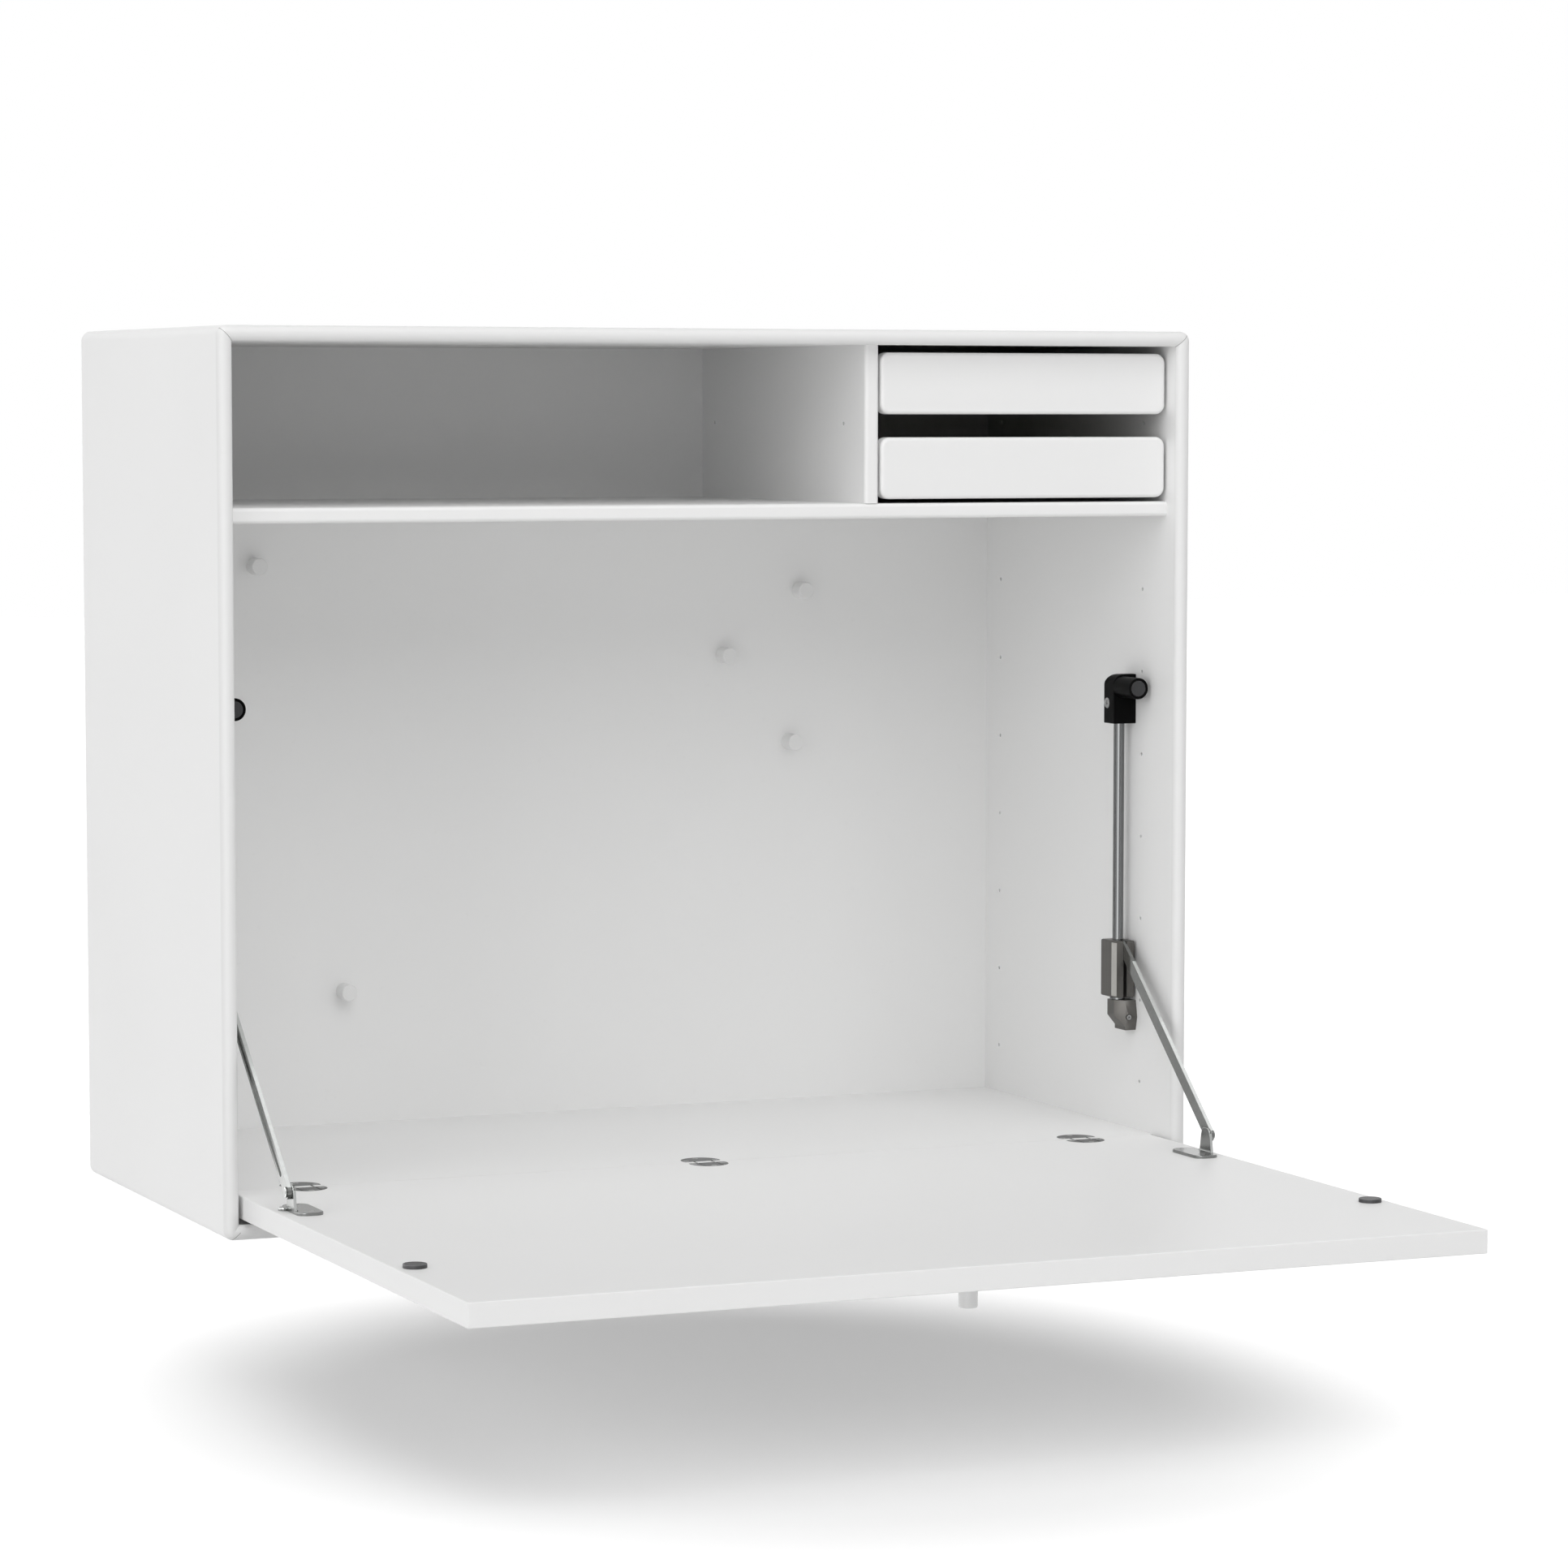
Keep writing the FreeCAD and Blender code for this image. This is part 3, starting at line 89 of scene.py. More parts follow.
forward = Vector((-math.sin(CAMERA_YAW) * math.cos(CAMERA_PITCH),
                  math.cos(CAMERA_YAW) * math.cos(CAMERA_PITCH),
                  math.sin(CAMERA_PITCH)))
level_right = Vector((math.cos(CAMERA_YAW), math.sin(CAMERA_YAW), 0.0))
level_up = level_right.cross(forward)
right = level_right * math.cos(CAMERA_ROLL) + level_up * math.sin(CAMERA_ROLL)
up = level_up * math.cos(CAMERA_ROLL) - level_right * math.sin(CAMERA_ROLL)

lens = bpy.data.cameras.new("desk_camera")
lens.sensor_width = SENSOR_MM
lens.sensor_height = SENSOR_MM
lens.lens = LENS_MM
lens.shift_x, lens.shift_y = LENS_SHIFT
camera = bpy.data.objects.new("desk_camera", lens)
camera.matrix_world = Matrix((right, up, -forward)).transposed().to_4x4()
camera.location = CAMERA_PLACE
scene.collection.objects.link(camera)
scene.camera = camera
scene.view_settings.view_transform = "Standard"
print("camera at", [round(v, 3) for v in CAMERA_PLACE])

# %% [markdown]
# ## Materials as arithmetic
# A procedural material is a graph of small nodes. Drawing it node by node hides the idea, so one small
# class wraps a node's output: adding, multiplying or comparing two of them adds the Math node that
# does it, and its method `node` adds a node of any other kind. The graph then reads as a formula.

# %% One wire of a material
class Wire:
    """An output of a material's nodes. Arithmetic on it adds Math nodes."""

    def __init__(self, tree, socket=None):
        self.tree = tree
        self.socket = socket

    def node(self, kind, inputs=None, output=0, stops=None, **settings):
        """Adds a node, sets it up, then gives its inputs their values or links."""
        made = self.tree.nodes.new(kind)
        for name, value in settings.items():
            setattr(made, name, value)
        if stops:
            ramp = made.color_ramp
            while len(ramp.elements) < len(stops):
                ramp.elements.new(0.5)
            for element, (place, shade) in zip(ramp.elements, stops):
                element.position = place
                element.color = (shade, shade, shade, 1.0)
        for name, value in (inputs or {}).items():
            for source in value if isinstance(value, list) else [value]:
                if isinstance(source, Wire):
                    self.tree.links.new(source.socket, made.inputs[name])
                else:
                    made.inputs[name].default_value = source
        return Wire(self.tree, made.outputs[output])

    def math(self, operation, *values):
        return self.node("ShaderNodeMath", dict(enumerate(values)), operation=operation)

    def __add__(self, other):
        return self.math("ADD", self, other)

    def __sub__(self, other):
        return self.math("SUBTRACT", self, other)

    def __rsub__(self, other):
        return self.math("SUBTRACT", other, self)

    def __mul__(self, other):
        return self.math("MULTIPLY", self, other)

    def __truediv__(self, other):
        return self.math("DIVIDE", self, other)

    def __pow__(self, other):
        return self.math("POWER", self, other)

    def __abs__(self):
        return self.math("ABSOLUTE", self)

    def __lt__(self, other):
        return self.math("LESS_THAN", self, other)

    def __gt__(self, other):
        return self.math("GREATER_THAN", self, other)

    __radd__ = __add__
    __rmul__ = __mul__


print("operators", [name for name in vars(Wire) if name.startswith("__") and name.endswith("__")][:4])

# %% Patterns that the finishes share
def place_in(wire):
    """Where a point is on the object, in metres."""
    return wire.node("ShaderNodeTexCoord", output="Object")


def stretched(wire, place, scale, turn=(0.0, 0.0, 0.0)):
    """The same place, turned and then scaled, for a pattern with a direction."""
    turned = wire.node("ShaderNodeMapping", {"Vector": place, "Rotation": turn})
    return wire.node("ShaderNodeMapping", {"Vector": turned, "Scale": scale})


def cloud(wire, place, scale, detail=2.0, roughness=0.5):
    """Soft noise from 0 to 1 with about `scale` patches a metre."""
    return wire.node("ShaderNodeTexNoise",
                     {"Vector": place, "Scale": scale, "Detail": detail, "Roughness": roughness})


def mixed(wire, share, first, second):
    """Blends two colours, each a colour or a wire."""
    first = first if isinstance(first, Wire) else (*first, 1.0)
    second = second if isinstance(second, Wire) else (*second, 1.0)
    return wire.node("ShaderNodeMix", {0: share, 6: first, 7: second}, output=2, data_type="RGBA")


def bumped(wire, height, strength, depth):
    """A normal that is tilted by a height in metres times depth."""
    return wire.node("ShaderNodeBump", {"Height": height, "Strength": strength, "Distance": depth})


def new_finish(name, metallic=0.0, **fixed):
    """An empty material: its wire, and its shader with the sockets that stay the same all over."""
    material = bpy.data.materials.new(name)
    material.use_nodes = True
    shader = material.node_tree.nodes["Principled BSDF"]
    shader.inputs["Metallic"].default_value = metallic
    for socket, value in fixed.items():
        shader.inputs[socket.replace("_", " ")].default_value = value
    return material, Wire(material.node_tree), shader


def plug(wire, shader, **sources):
    """Feeds the shader's sockets from wires."""
    for socket, source in sources.items():
        wire.tree.links.new(source.socket, shader.inputs[socket.replace("_", " ")])


print("pattern helpers ready")

# %% [markdown]
# ## White lacquer
# The boards are sprayed and sanded between coats. Up close such lacquer isn't flat: it has a faint
# orange peel of about two millimetres, a slow drift in sheen where it was sprayed thicker, and a few
# specks of dust. Each is a noise of its own scale. Only the peel and the dust tilt the surface.
# The carcass has two marks more, found from where a point is and which way it faces: its front edges
# are painted a little greyer, a painted shade that keeps them from looking brighter than the sides, and
# a fine seam runs across them at each mitred corner.

# %% White lacquer
PEEL_PER_M = 420.0
DRIFT_PER_M = 7.0
DUST_PER_M = 260.0
DUST_ABOVE = 0.83
DUST_GREY = (0.62, 0.61, 0.59)
BOARD_T = 0.012
CARCASS_FRONT = (-0.392, -0.3738)
FACES_FRONT = -0.03
MITRE_MIDDLE = (cad_box[0].z + cad_box[1].z) / 2
MITRE_HALF = (cad_box[1].x, (cad_box[1].z - cad_box[0].z) / 2)
SEAM_HALF = 0.00030
SEAM_GREY = (0.30, 0.30, 0.295)


def toned(colour, factor):
    """A colour made darker or lighter."""
    return [value * factor for value in colour]




def lacquer(name, colour, roughness, tint=0.012, front_painted_shade=0.0):
    """Satin lacquer on board. A front shade greys the carcass's front-facing edges as painted shade, and
    draws its mitres.
    """
    material, wire, shader = new_finish(name, Specular_IOR_Level=0.36)
    place = place_in(wire)
    drift = cloud(wire, place, DRIFT_PER_M, 3.0)
    peel = cloud(wire, place, PEEL_PER_M, 2.0, 0.4)
    dust = cloud(wire, place, DUST_PER_M, 0.0) > DUST_ABOVE
    shade = mixed(wire, drift, toned(colour, 1.0 - tint), colour)
    if front_painted_shade:
        x, y, z = (wire.node("ShaderNodeSeparateXYZ", {"Vector": place}, output=axis) for axis in "XYZ")
        facing = wire.node("ShaderNodeTexCoord", output="Normal")
        ahead = wire.node("ShaderNodeSeparateXYZ", {"Vector": facing}, output="Y") < FACES_FRONT
        carcass = (y > CARCASS_FRONT[0]) * (y < CARCASS_FRONT[1]) * ahead
        # Painted shade: the carcass's front-facing edges are made greyer.
        shade = mixed(wire, carcass, shade, toned(colour, 1.0 - front_painted_shade))
        mitre = abs(abs(x) - abs(z - MITRE_MIDDLE) - (MITRE_HALF[0] - MITRE_HALF[1])) < SEAM_HALF
        seam = mitre * carcass * (abs(x) > MITRE_HALF[0] - BOARD_T)
        shade = mixed(wire, seam, shade, SEAM_GREY)
    plug(wire, shader,
         Base_Color=mixed(wire, dust * 0.04, shade, DUST_GREY),
         Roughness=roughness + (drift - 0.5) * 0.10 + (peel - 0.5) * 0.05,
         Normal=bumped(wire, peel + dust * 0.5, 0.10, 0.00012))
    return material


finishes = {
    "lacquered_board": lacquer("lacquered_board", (0.90, 0.90, 0.897), 0.42, 0.012, 0.07),
    "back_board": lacquer("back_board", (0.92, 0.92, 0.917), 0.46),
    "drawer_face": lacquer("drawer_face", (0.90, 0.90, 0.897), 0.40),
    "drawer_box": lacquer("drawer_box", (0.62, 0.61, 0.59), 0.50, 0.03),
    "peg_paint": lacquer("peg_paint", (0.86, 0.86, 0.857), 0.38),
    "knob_white": lacquer("knob_white", (0.88, 0.88, 0.877), 0.30),
}
print("lacquers", sorted(finishes))

# %% [markdown]
# ## Wood that stays hidden
# The dowels, the spacer and the runners are bare wood. Its grain is noise that is stretched along the
# fibres, so that a patch is forty times as long as it is wide. The rings are the same noise, eight
# times as large. They only show when a drawer is pulled out or the cabinet is taken off the wall.

# %% Bare and waxed wood
FIBRE_STRETCH = (9.0, 380.0, 380.0)
QUARTER_TURN = math.pi / 2


def wood(name, light, dark, roughness, turn=(0.0, 0.0, 0.0)):
    """Fine straight-grained wood."""
    material, wire, shader = new_finish(name)
    along = stretched(wire, place_in(wire), FIBRE_STRETCH, turn)
    fibre = cloud(wire, along, 1.0, 5.0, 0.6)
    ring = cloud(wire, along, 0.12, 2.0)
    plug(wire, shader,
         Base_Color=mixed(wire, fibre * 0.6 + ring * 0.4, dark, light),
         Roughness=roughness + (fibre - 0.5) * 0.2,
         Normal=bumped(wire, fibre, 0.35, 0.0002))
    return material


finishes["bare_wood"] = wood("bare_wood", (0.62, 0.46, 0.29), (0.42, 0.28, 0.16), 0.62)
finishes["runner_strip"] = wood("runner_strip", (0.58, 0.42, 0.26), (0.40, 0.27, 0.15), 0.38,
                                (0.0, 0.0, QUARTER_TURN))
print("woods ready")

# %% [markdown]
# ## Metals
# Metal has almost no colour of its own, it is told apart by how it was worked. Drawn and ground steel
# has scratches in one direction, cast zinc has a fine grain, chrome is smooth with a few wiping marks.
# Edges catch more wear than faces: the small parts carry an attribute called `edge`, which is 1 on
# their roundings, and there the finish gets lighter and smoother. The lighter colour is partly that
# wear and partly a painted highlight, the bright line that such roundings catch.

# %% Worked metals
SCRATCH_LONG = 14.0
SCRATCH_FINE = 1900.0


def worn_and_highlit_edge(wire):
    """1 on the roundings of a small part, 0 on its faces."""
    return wire.node("ShaderNodeAttribute", output="Fac", attribute_name="edge")


def ground_metal(name, colour, worn_and_highlit_colour, roughness, turn=(0.0, 0.0, 0.0), contrast=0.22):
    """Metal with fine scratches along its own Z, or along Z turned by `turn`."""
    material, wire, shader = new_finish(name, metallic=1.0)
    place = place_in(wire)
    along = stretched(wire, place, (SCRATCH_FINE, SCRATCH_FINE, SCRATCH_LONG), turn)
    scratch = cloud(wire, along, 1.0, 3.0, 0.7)
    cloudy = cloud(wire, place, 160.0, 2.0)
    edge = worn_and_highlit_edge(wire)
    face = mixed(wire, scratch * 0.7 + cloudy * 0.3,
                 toned(colour, 1.0 - contrast), toned(colour, 1.0 + contrast))
    # Lighter on the marked roundings: partly wear, partly a painted highlight.
    plug(wire, shader,
         Base_Color=mixed(wire, edge * (0.75 + 0.25 * cloudy), face, worn_and_highlit_colour),
         Roughness=roughness + (scratch - 0.5) * 0.16 - edge * (roughness * 0.35),
         Normal=bumped(wire, scratch, 0.16, 0.00005))
    return material


def cast_metal(name, colour, worn_and_highlit_colour, roughness):
    """Tumbled zinc casting with a satin coat, lighter at its edges: partly wear, partly a painted highlight.
    """
    material, wire, shader = new_finish(name, metallic=0.85)
    place = place_in(wire)
    grain = cloud(wire, place, 1500.0, 2.0, 0.6)
    patch = cloud(wire, place, 90.0, 3.0)
    # Upright light and dark streaks in the colour, running the height of the part.
    upright_streaks = cloud(wire, stretched(wire, place, (800.0, 800.0, 12.0)), 1.0, 3.0, 0.6)
    edge = worn_and_highlit_edge(wire)
    face = mixed(wire, patch * 0.4 + upright_streaks * 0.6, toned(colour, 0.80), toned(colour, 1.25))
    # Lighter on the marked edges: partly wear, partly a painted highlight.
    plug(wire, shader,
         Base_Color=mixed(wire, edge * 0.85, face, worn_and_highlit_colour),
         Roughness=roughness + (patch - 0.5) * 0.12 - edge * 0.14,
         Normal=bumped(wire, grain, 0.22, 0.00005))
    return material


ARM_DROP, ARM_REACH = 137.9, 155.4
ARM_LEAN = math.atan2(ARM_REACH, ARM_DROP)
ALONG_X, ALONG_Y, ALONG_ARM = (0.0, QUARTER_TURN, 0.0), (QUARTER_TURN, 0.0, 0.0), (-ARM_LEAN, 0.0, 0.0)
for name, settings in {
    "rail_steel": ((0.52, 0.53, 0.54), (0.66, 0.67, 0.68), 0.38, ALONG_X),
    "nickel_steel": ((0.090, 0.093, 0.092), (0.62, 0.63, 0.62), 0.34, ALONG_X, 0.30),
    "dark_steel": ((0.085, 0.085, 0.087), (0.22, 0.22, 0.22), 0.36),
    "screw_steel": ((0.42, 0.42, 0.42), (0.70, 0.70, 0.70), 0.28),
    "magnet_grey": ((0.075, 0.075, 0.078), (0.16, 0.14, 0.145), 0.40),
    "brushed_steel": ((0.25, 0.255, 0.25), (0.80, 0.82, 0.81), 0.15, ALONG_ARM),
    "grey_steel": ((0.25, 0.255, 0.25), (0.74, 0.76, 0.75), 0.17, ALONG_Y),
}.items():
    finishes[name] = ground_metal(name, *settings)
finishes["grey_zinc"] = cast_metal("grey_zinc", (0.135, 0.13, 0.122), (0.60, 0.59, 0.56), 0.38)
print("worked metals ready")

# %% Chrome
def chrome(name, colour):
    """Polished plating: lengthwise drawing lines under it, and a few wiping marks round it."""
    material, wire, shader = new_finish(name, metallic=1.0)
    place = place_in(wire)
    drawn = cloud(wire, stretched(wire, place, (900.0, 900.0, 3.0)), 1.0, 2.0)
    wiped = cloud(wire, stretched(wire, place, (60.0, 60.0, 700.0)), 1.0, 3.0)
    plug(wire, shader,
         Base_Color=mixed(wire, drawn, toned(colour, 0.72), colour),
         Roughness=0.07 + (wiped ** 3.0) * 0.25,
         Normal=bumped(wire, drawn, 0.05, 0.00004))
    return material


finishes["bright_chrome"] = chrome("bright_chrome", (0.235, 0.24, 0.242))
print("chrome ready")

# %% [markdown]
# ## Plastic and coated steel
# The upper brackets are moulded in black plastic with a spark-eroded texture: a fine even grain that
# spreads the highlight and leaves the black deep. Their edges are a little lighter, partly rubbed and
# partly a painted highlight. The catch discs are pressed steel with a dark coat that is speckled, and
# lighter on the rim, partly where the coat is thin and partly as a painted highlight.

# %% Moulded plastic and coated discs
def moulded(name, colour, roughness):
    """Textured plastic, smoother and lighter on its edges: partly rubbed, partly a painted highlight."""
    material, wire, shader = new_finish(name, Specular_IOR_Level=0.04)
    place = place_in(wire)
    texture = cloud(wire, place, 2600.0, 1.0)
    flow = cloud(wire, place, 55.0, 3.0)
    edge = worn_and_highlit_edge(wire)
    plug(wire, shader,
         Base_Color=mixed(wire, flow * 0.35 + edge * 0.25, colour, toned(colour, 2.2)),
         Roughness=roughness + (texture - 0.5) * 0.15 - edge * 0.12,
         Normal=bumped(wire, texture, 0.35, 0.00004))
    return material


def coated(name, colour, worn_and_highlit_colour, roughness):
    """Dark satin coat on pressed metal, lighter on the rim: partly a thin coat, partly a painted highlight.
    """
    material, wire, shader = new_finish(name, metallic=0.6)
    place = place_in(wire)
    speck = cloud(wire, place, 1300.0, 2.0)
    patch = cloud(wire, place, 110.0, 2.0)
    edge = worn_and_highlit_edge(wire)
    coat = mixed(wire, patch, toned(colour, 0.75), colour)
    plug(wire, shader,
         Base_Color=mixed(wire, edge * 0.6, coat, worn_and_highlit_colour),
         Roughness=roughness + (speck - 0.5) * 0.2,
         Normal=bumped(wire, speck, 0.2, 0.00004))
    return material


finishes["black_plastic"] = moulded("black_plastic", (0.0025, 0.0025, 0.0026), 0.42)
finishes["disc_grey"] = coated("disc_grey", (0.085, 0.085, 0.088), (0.16, 0.16, 0.165), 0.46)
print("finishes", len(finishes))

# %% Give every measured part its finish
for row in frame["record"]["subparts"]:
    part = nodes[row["node"]]
    for holder in part.material_slots:
        holder.material = finishes[row["material_slot"]]

# %% [markdown]
# ## Floor, backdrop and light
# The cabinet hangs a little above a pale floor, so that its shadow shows where it is. The room is one
# soft white dome. The floor is lifted to white for the camera alone, by mixing in some emission, least
# of all inside an ellipse under the desk: the lamps' shadow stays there, and the ellipse, where the
# lift fades, is a painted outline of the shadow. No extra light falls on the desk.

# %% Floor
FLOOR_Z = -0.765
FLOOR_HALF = 14.0
FLOOR_LIFT = 0.27
FLOOR_GLOW = 1.15
SHADE_CENTRE = (-0.040, -0.535)
SHADE_HALF = (0.61, 0.71)
SHADE_NEAR = 0.48
SHADE_FAR = 0.97
FLOOR_GREYS = ((0.86, 0.86, 0.86), (0.88, 0.88, 0.88))


def floor_finish():
    """Pale floor with a faint cloudiness; the camera sees it lifted towards white, least inside a painted
    shadow ellipse under the desk.
    """
    material, wire, shader = new_finish("floor_paint", Roughness=0.9, Specular_IOR_Level=0.1)
    place = place_in(wire)
    plug(wire, shader, Base_Color=mixed(wire, cloud(wire, place, 3.0), *FLOOR_GREYS))
    seen = wire.node("ShaderNodeLightPath", output="Is Camera Ray")
    glow = wire.node("ShaderNodeEmission", {"Color": (1.0, 1.0, 1.0, 1.0), "Strength": FLOOR_GLOW})
    # The lift is least inside an ellipse under the desk: its outline paints where the shadow shows.
    centred = wire.node("ShaderNodeMapping", {
        "Vector": place, "Scale": (1.0 / SHADE_HALF[0], 1.0 / SHADE_HALF[1], 0.0),
        "Location": (-SHADE_CENTRE[0] / SHADE_HALF[0], -SHADE_CENTRE[1] / SHADE_HALF[1], 0.0)})
    away = wire.node("ShaderNodeVectorMath", {0: centred}, output="Value", operation="LENGTH")
    shadow_ellipse_lift = wire.node("ShaderNodeMapRange",
                     {"Value": away, "From Min": SHADE_NEAR, "From Max": SHADE_FAR,
                      "To Min": FLOOR_LIFT, "To Max": 1.0}, interpolation_type="SMOOTHSTEP")
    mix = wire.tree.nodes.new("ShaderNodeMixShader")
    wire.tree.links.new((seen * shadow_ellipse_lift).socket, mix.inputs[0])
    wire.tree.links.new(shader.outputs[0], mix.inputs[1])
    wire.tree.links.new(glow.socket, mix.inputs[2])
    wire.tree.links.new(mix.outputs[0], wire.tree.nodes["Material Output"].inputs[0])
    return material


floor_mesh = bpy.data.meshes.new("floor")
corners = [(x * FLOOR_HALF, y * FLOOR_HALF, FLOOR_Z) for x, y in ((-1, -1), (1, -1), (1, 1), (-1, 1))]
floor_mesh.from_pydata(corners, [], [(0, 1, 2, 3)])
floor = bpy.data.objects.new("floor", floor_mesh)
floor_mesh.materials.append(floor_finish())
scene.collection.objects.link(floor)
floor.visible_glossy = False
print("floor", round((FLOOR_Z - cad_box[0].z) / MM, 1), "mm from the lowest point")

# %% [markdown]
# ## What the metal mirrors
# Chrome looks like chrome only if it has something to mirror. This studio is bright on the left,
# dimmer in front of the desk, where the camera stands, and has a tall strip of light at the front
# left. So the world has three answers: white for the camera, an even low level for lighting, and this
# studio for mirror rays.

# %% World
DOME_STRENGTH = 0.20
BRIGHT_SIDE = 2.0
DIM_SIDE = 0.62
STRIP_WAY = (-0.605, -0.796)
STRIP_STRENGTH = 1.9
STRIP_EDGE = (0.927, 0.961)
STRIP_HALF_HEIGHT = 0.80

world = bpy.data.worlds.new("studio")
scene.world = world
world.use_nodes = True
sky = Wire(world.node_tree)


def eased(wire, value, start, end):
    """0 below start, 1 above end, smooth between them."""
    return wire.node("ShaderNodeMapRange", {"Value": value, "From Min": start, "From Max": end},
                     interpolation_type="SMOOTHSTEP")


ray = sky.node("ShaderNodeTexCoord", output="Generated")
ray_x, ray_y, ray_z = (sky.node("ShaderNodeSeparateXYZ", {"Vector": ray}, output=axis) for axis in "XYZ")
level = (ray_x * ray_x + ray_y * ray_y + 0.0001) ** 0.5
strip = eased(sky, (ray_x * STRIP_WAY[0] + ray_y * STRIP_WAY[1]) / level, *STRIP_EDGE)
strip = strip * (abs(ray_z) < STRIP_HALF_HEIGHT)
dim = eased(sky, ray_y * -1.0, -0.15, 0.45) * (1.0 - eased(sky, abs(ray_z), 0.35, 0.70))
bright = eased(sky, ray_x * -1.0, 0.0, 0.35) * (BRIGHT_SIDE - 1.0)
studio = (1.0 + bright) * (1.0 - dim) + dim * DIM_SIDE + strip * STRIP_STRENGTH
to_camera = sky.node("ShaderNodeLightPath", output="Is Camera Ray")
to_mirror = sky.node("ShaderNodeLightPath", output="Is Glossy Ray")
even_light = (1.0 - to_camera) * (1.0 - to_mirror) * DOME_STRENGTH
backdrop = world.node_tree.nodes["Background"]
backdrop.inputs["Color"].default_value = (1.0, 1.0, 1.0, 1.0)
answer = to_camera + to_mirror * studio + even_light
world.node_tree.links.new(answer.socket, backdrop.inputs["Strength"])
print("dome strength", DOME_STRENGTH)

# %% Large softboxes
LAMP_DISTANCE = 7.0
LAMP_SIZE = 6.0
SOFTBOXES = {
    "left_front": ((-1.0, -0.45, 0.10), 204.0),
    "front_high": ((0.0, -1.0, 0.80), 192.0),
    "front_right": ((0.8, -1.0, 0.30), 54.0),
    "overhead": ((-0.15, -0.3, 1.0), 148.0),
}

for place_name, (direction, watts) in SOFTBOXES.items():
    softbox = bpy.data.lights.new("softbox_" + place_name, "AREA")
    softbox.shape = "SQUARE"
    softbox.size = LAMP_SIZE
    softbox.energy = watts
    lamp = bpy.data.objects.new("softbox_" + place_name, softbox)
    toward = Vector(direction).normalized()
    lamp.matrix_world = toward.to_track_quat("Z", "Y").to_matrix().to_4x4()
    lamp.location = toward * LAMP_DISTANCE
    lamp.visible_glossy = False
    scene.collection.objects.link(lamp)
print("softboxes", sorted(SOFTBOXES))

# %% [markdown]
# ## How a small part becomes a finished piece
# Every small part is drawn once, for the right-hand side, in millimetres, and mirrored for the left.
# A mirror turns a mesh inside out, so its faces are turned back. Broad faces should look flat and
# roundings smooth: edges that are sharper than a limit stay sharp, and a Weighted Normal modifier lets
# the large faces decide the shading. The modifier is then baked in, so that the piece is plain.

# %% From drawing to piece
X, Y, Z = 0, 1, 2
SHARP_ANGLE = math.radians(32.0)
WELD = 0.0005


def plain_mesh(obj):
    """Applies the object's modifiers, so that its mesh is plain."""
    graph = bpy.context.evaluated_depsgraph_get()
    mesh = bpy.data.meshes.new_from_object(obj.evaluated_get(graph), preserve_all_data_layers=True,
                                           depsgraph=graph)
    obj.modifiers.clear()
    mesh.name = obj.name
    obj.data = mesh
    return obj


def even_shading(obj):
    """Smooth roundings beside flat faces."""
    obj.data.shade_smooth()
    obj.data.set_sharp_from_angle(angle=SHARP_ANGLE)
    weighted = obj.modifiers.new("even_shading", "WEIGHTED_NORMAL")
    weighted.keep_sharp = True
    weighted.weight = 90
    return plain_mesh(obj)


def settle(obj, body, finish, *replaced):
    """Gives a piece its finish, its body and the measured parts that it stands for."""
    if not obj.material_slots:
        obj.data.materials.append(finishes[finish])
    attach(obj, body)
    if replaced:
        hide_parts(*replaced)
    print(obj.name, "faces", len(obj.data.polygons))
    return obj


def new_piece(name, drawing, side):
    """An object from a drawing in millimetres; side is -1 for the mirrored, left-hand one."""
    work = drawing.copy()
    bmesh.ops.remove_doubles(work, verts=work.verts, dist=WELD)
    bmesh.ops.scale(work, vec=(side * MM, MM, MM), verts=work.verts)
    bmesh.ops.recalc_face_normals(work, faces=work.faces)
    mesh = bpy.data.meshes.new(name)
    work.to_mesh(mesh)
    work.free()
    if "custom_normal" in mesh.attributes:
        mesh.attributes.remove(mesh.attributes["custom_normal"])
    obj = bpy.data.objects.new(name, mesh)
    scene.collection.objects.link(obj)
    return even_shading(obj)


SIDES = (("left", -1), ("right", 1))


def pair(part, drawing, body, finish, node):
    """The left and the right piece of one drawing."""
    for side, sign in SIDES:
        piece = new_piece(side + "_" + part, drawing, sign)
        settle(piece, body.format(side=side), finish, node.format(side=side))
    drawing.free()


def box_mm(node):
    """A measured part's lowest and highest corners in millimetres."""
    low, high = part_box(node)
    return low / MM, high / MM


print("piece helpers ready")

# %% Drawing tools: turned and extruded shapes
def new_drawing():
    """An empty drawing whose faces can be marked as roundings."""
    drawing = bmesh.new()
    drawing.faces.layers.float.new("edge")
    return drawing


def turned(drawing, start, axis, profile, sides=48, marked=()):
    """A lathe shape: profile lists (distance along the axis, radius); marked lists the bands that are marked
    as worn and highlit edges.
    """
    axis = Vector(axis).normalized()
    across = axis.orthogonal().normalized()
    third = axis.cross(across)
    edge = drawing.faces.layers.float["edge"]
    rings = []
    for distance, radius in profile:
        centre = Vector(start) + axis * distance
        if radius == 0.0:
            rings.append([drawing.verts.new(centre)])
            continue
        angles = [2.0 * math.pi * index / sides for index in range(sides)]
        rings.append([drawing.verts.new(centre + (across * math.cos(a) + third * math.sin(a)) * radius)
                      for a in angles])
    for band, (one, two) in enumerate(zip(rings, rings[1:])):
        for index in range(sides):
            after = (index + 1) % sides
            corners = [one[index % len(one)], one[after % len(one)],
                       two[after % len(two)], two[index % len(two)]]
            face = drawing.faces.new(list(dict.fromkeys(corners)))
            face[edge] = 1.0 if band in marked else 0.0
    return drawing


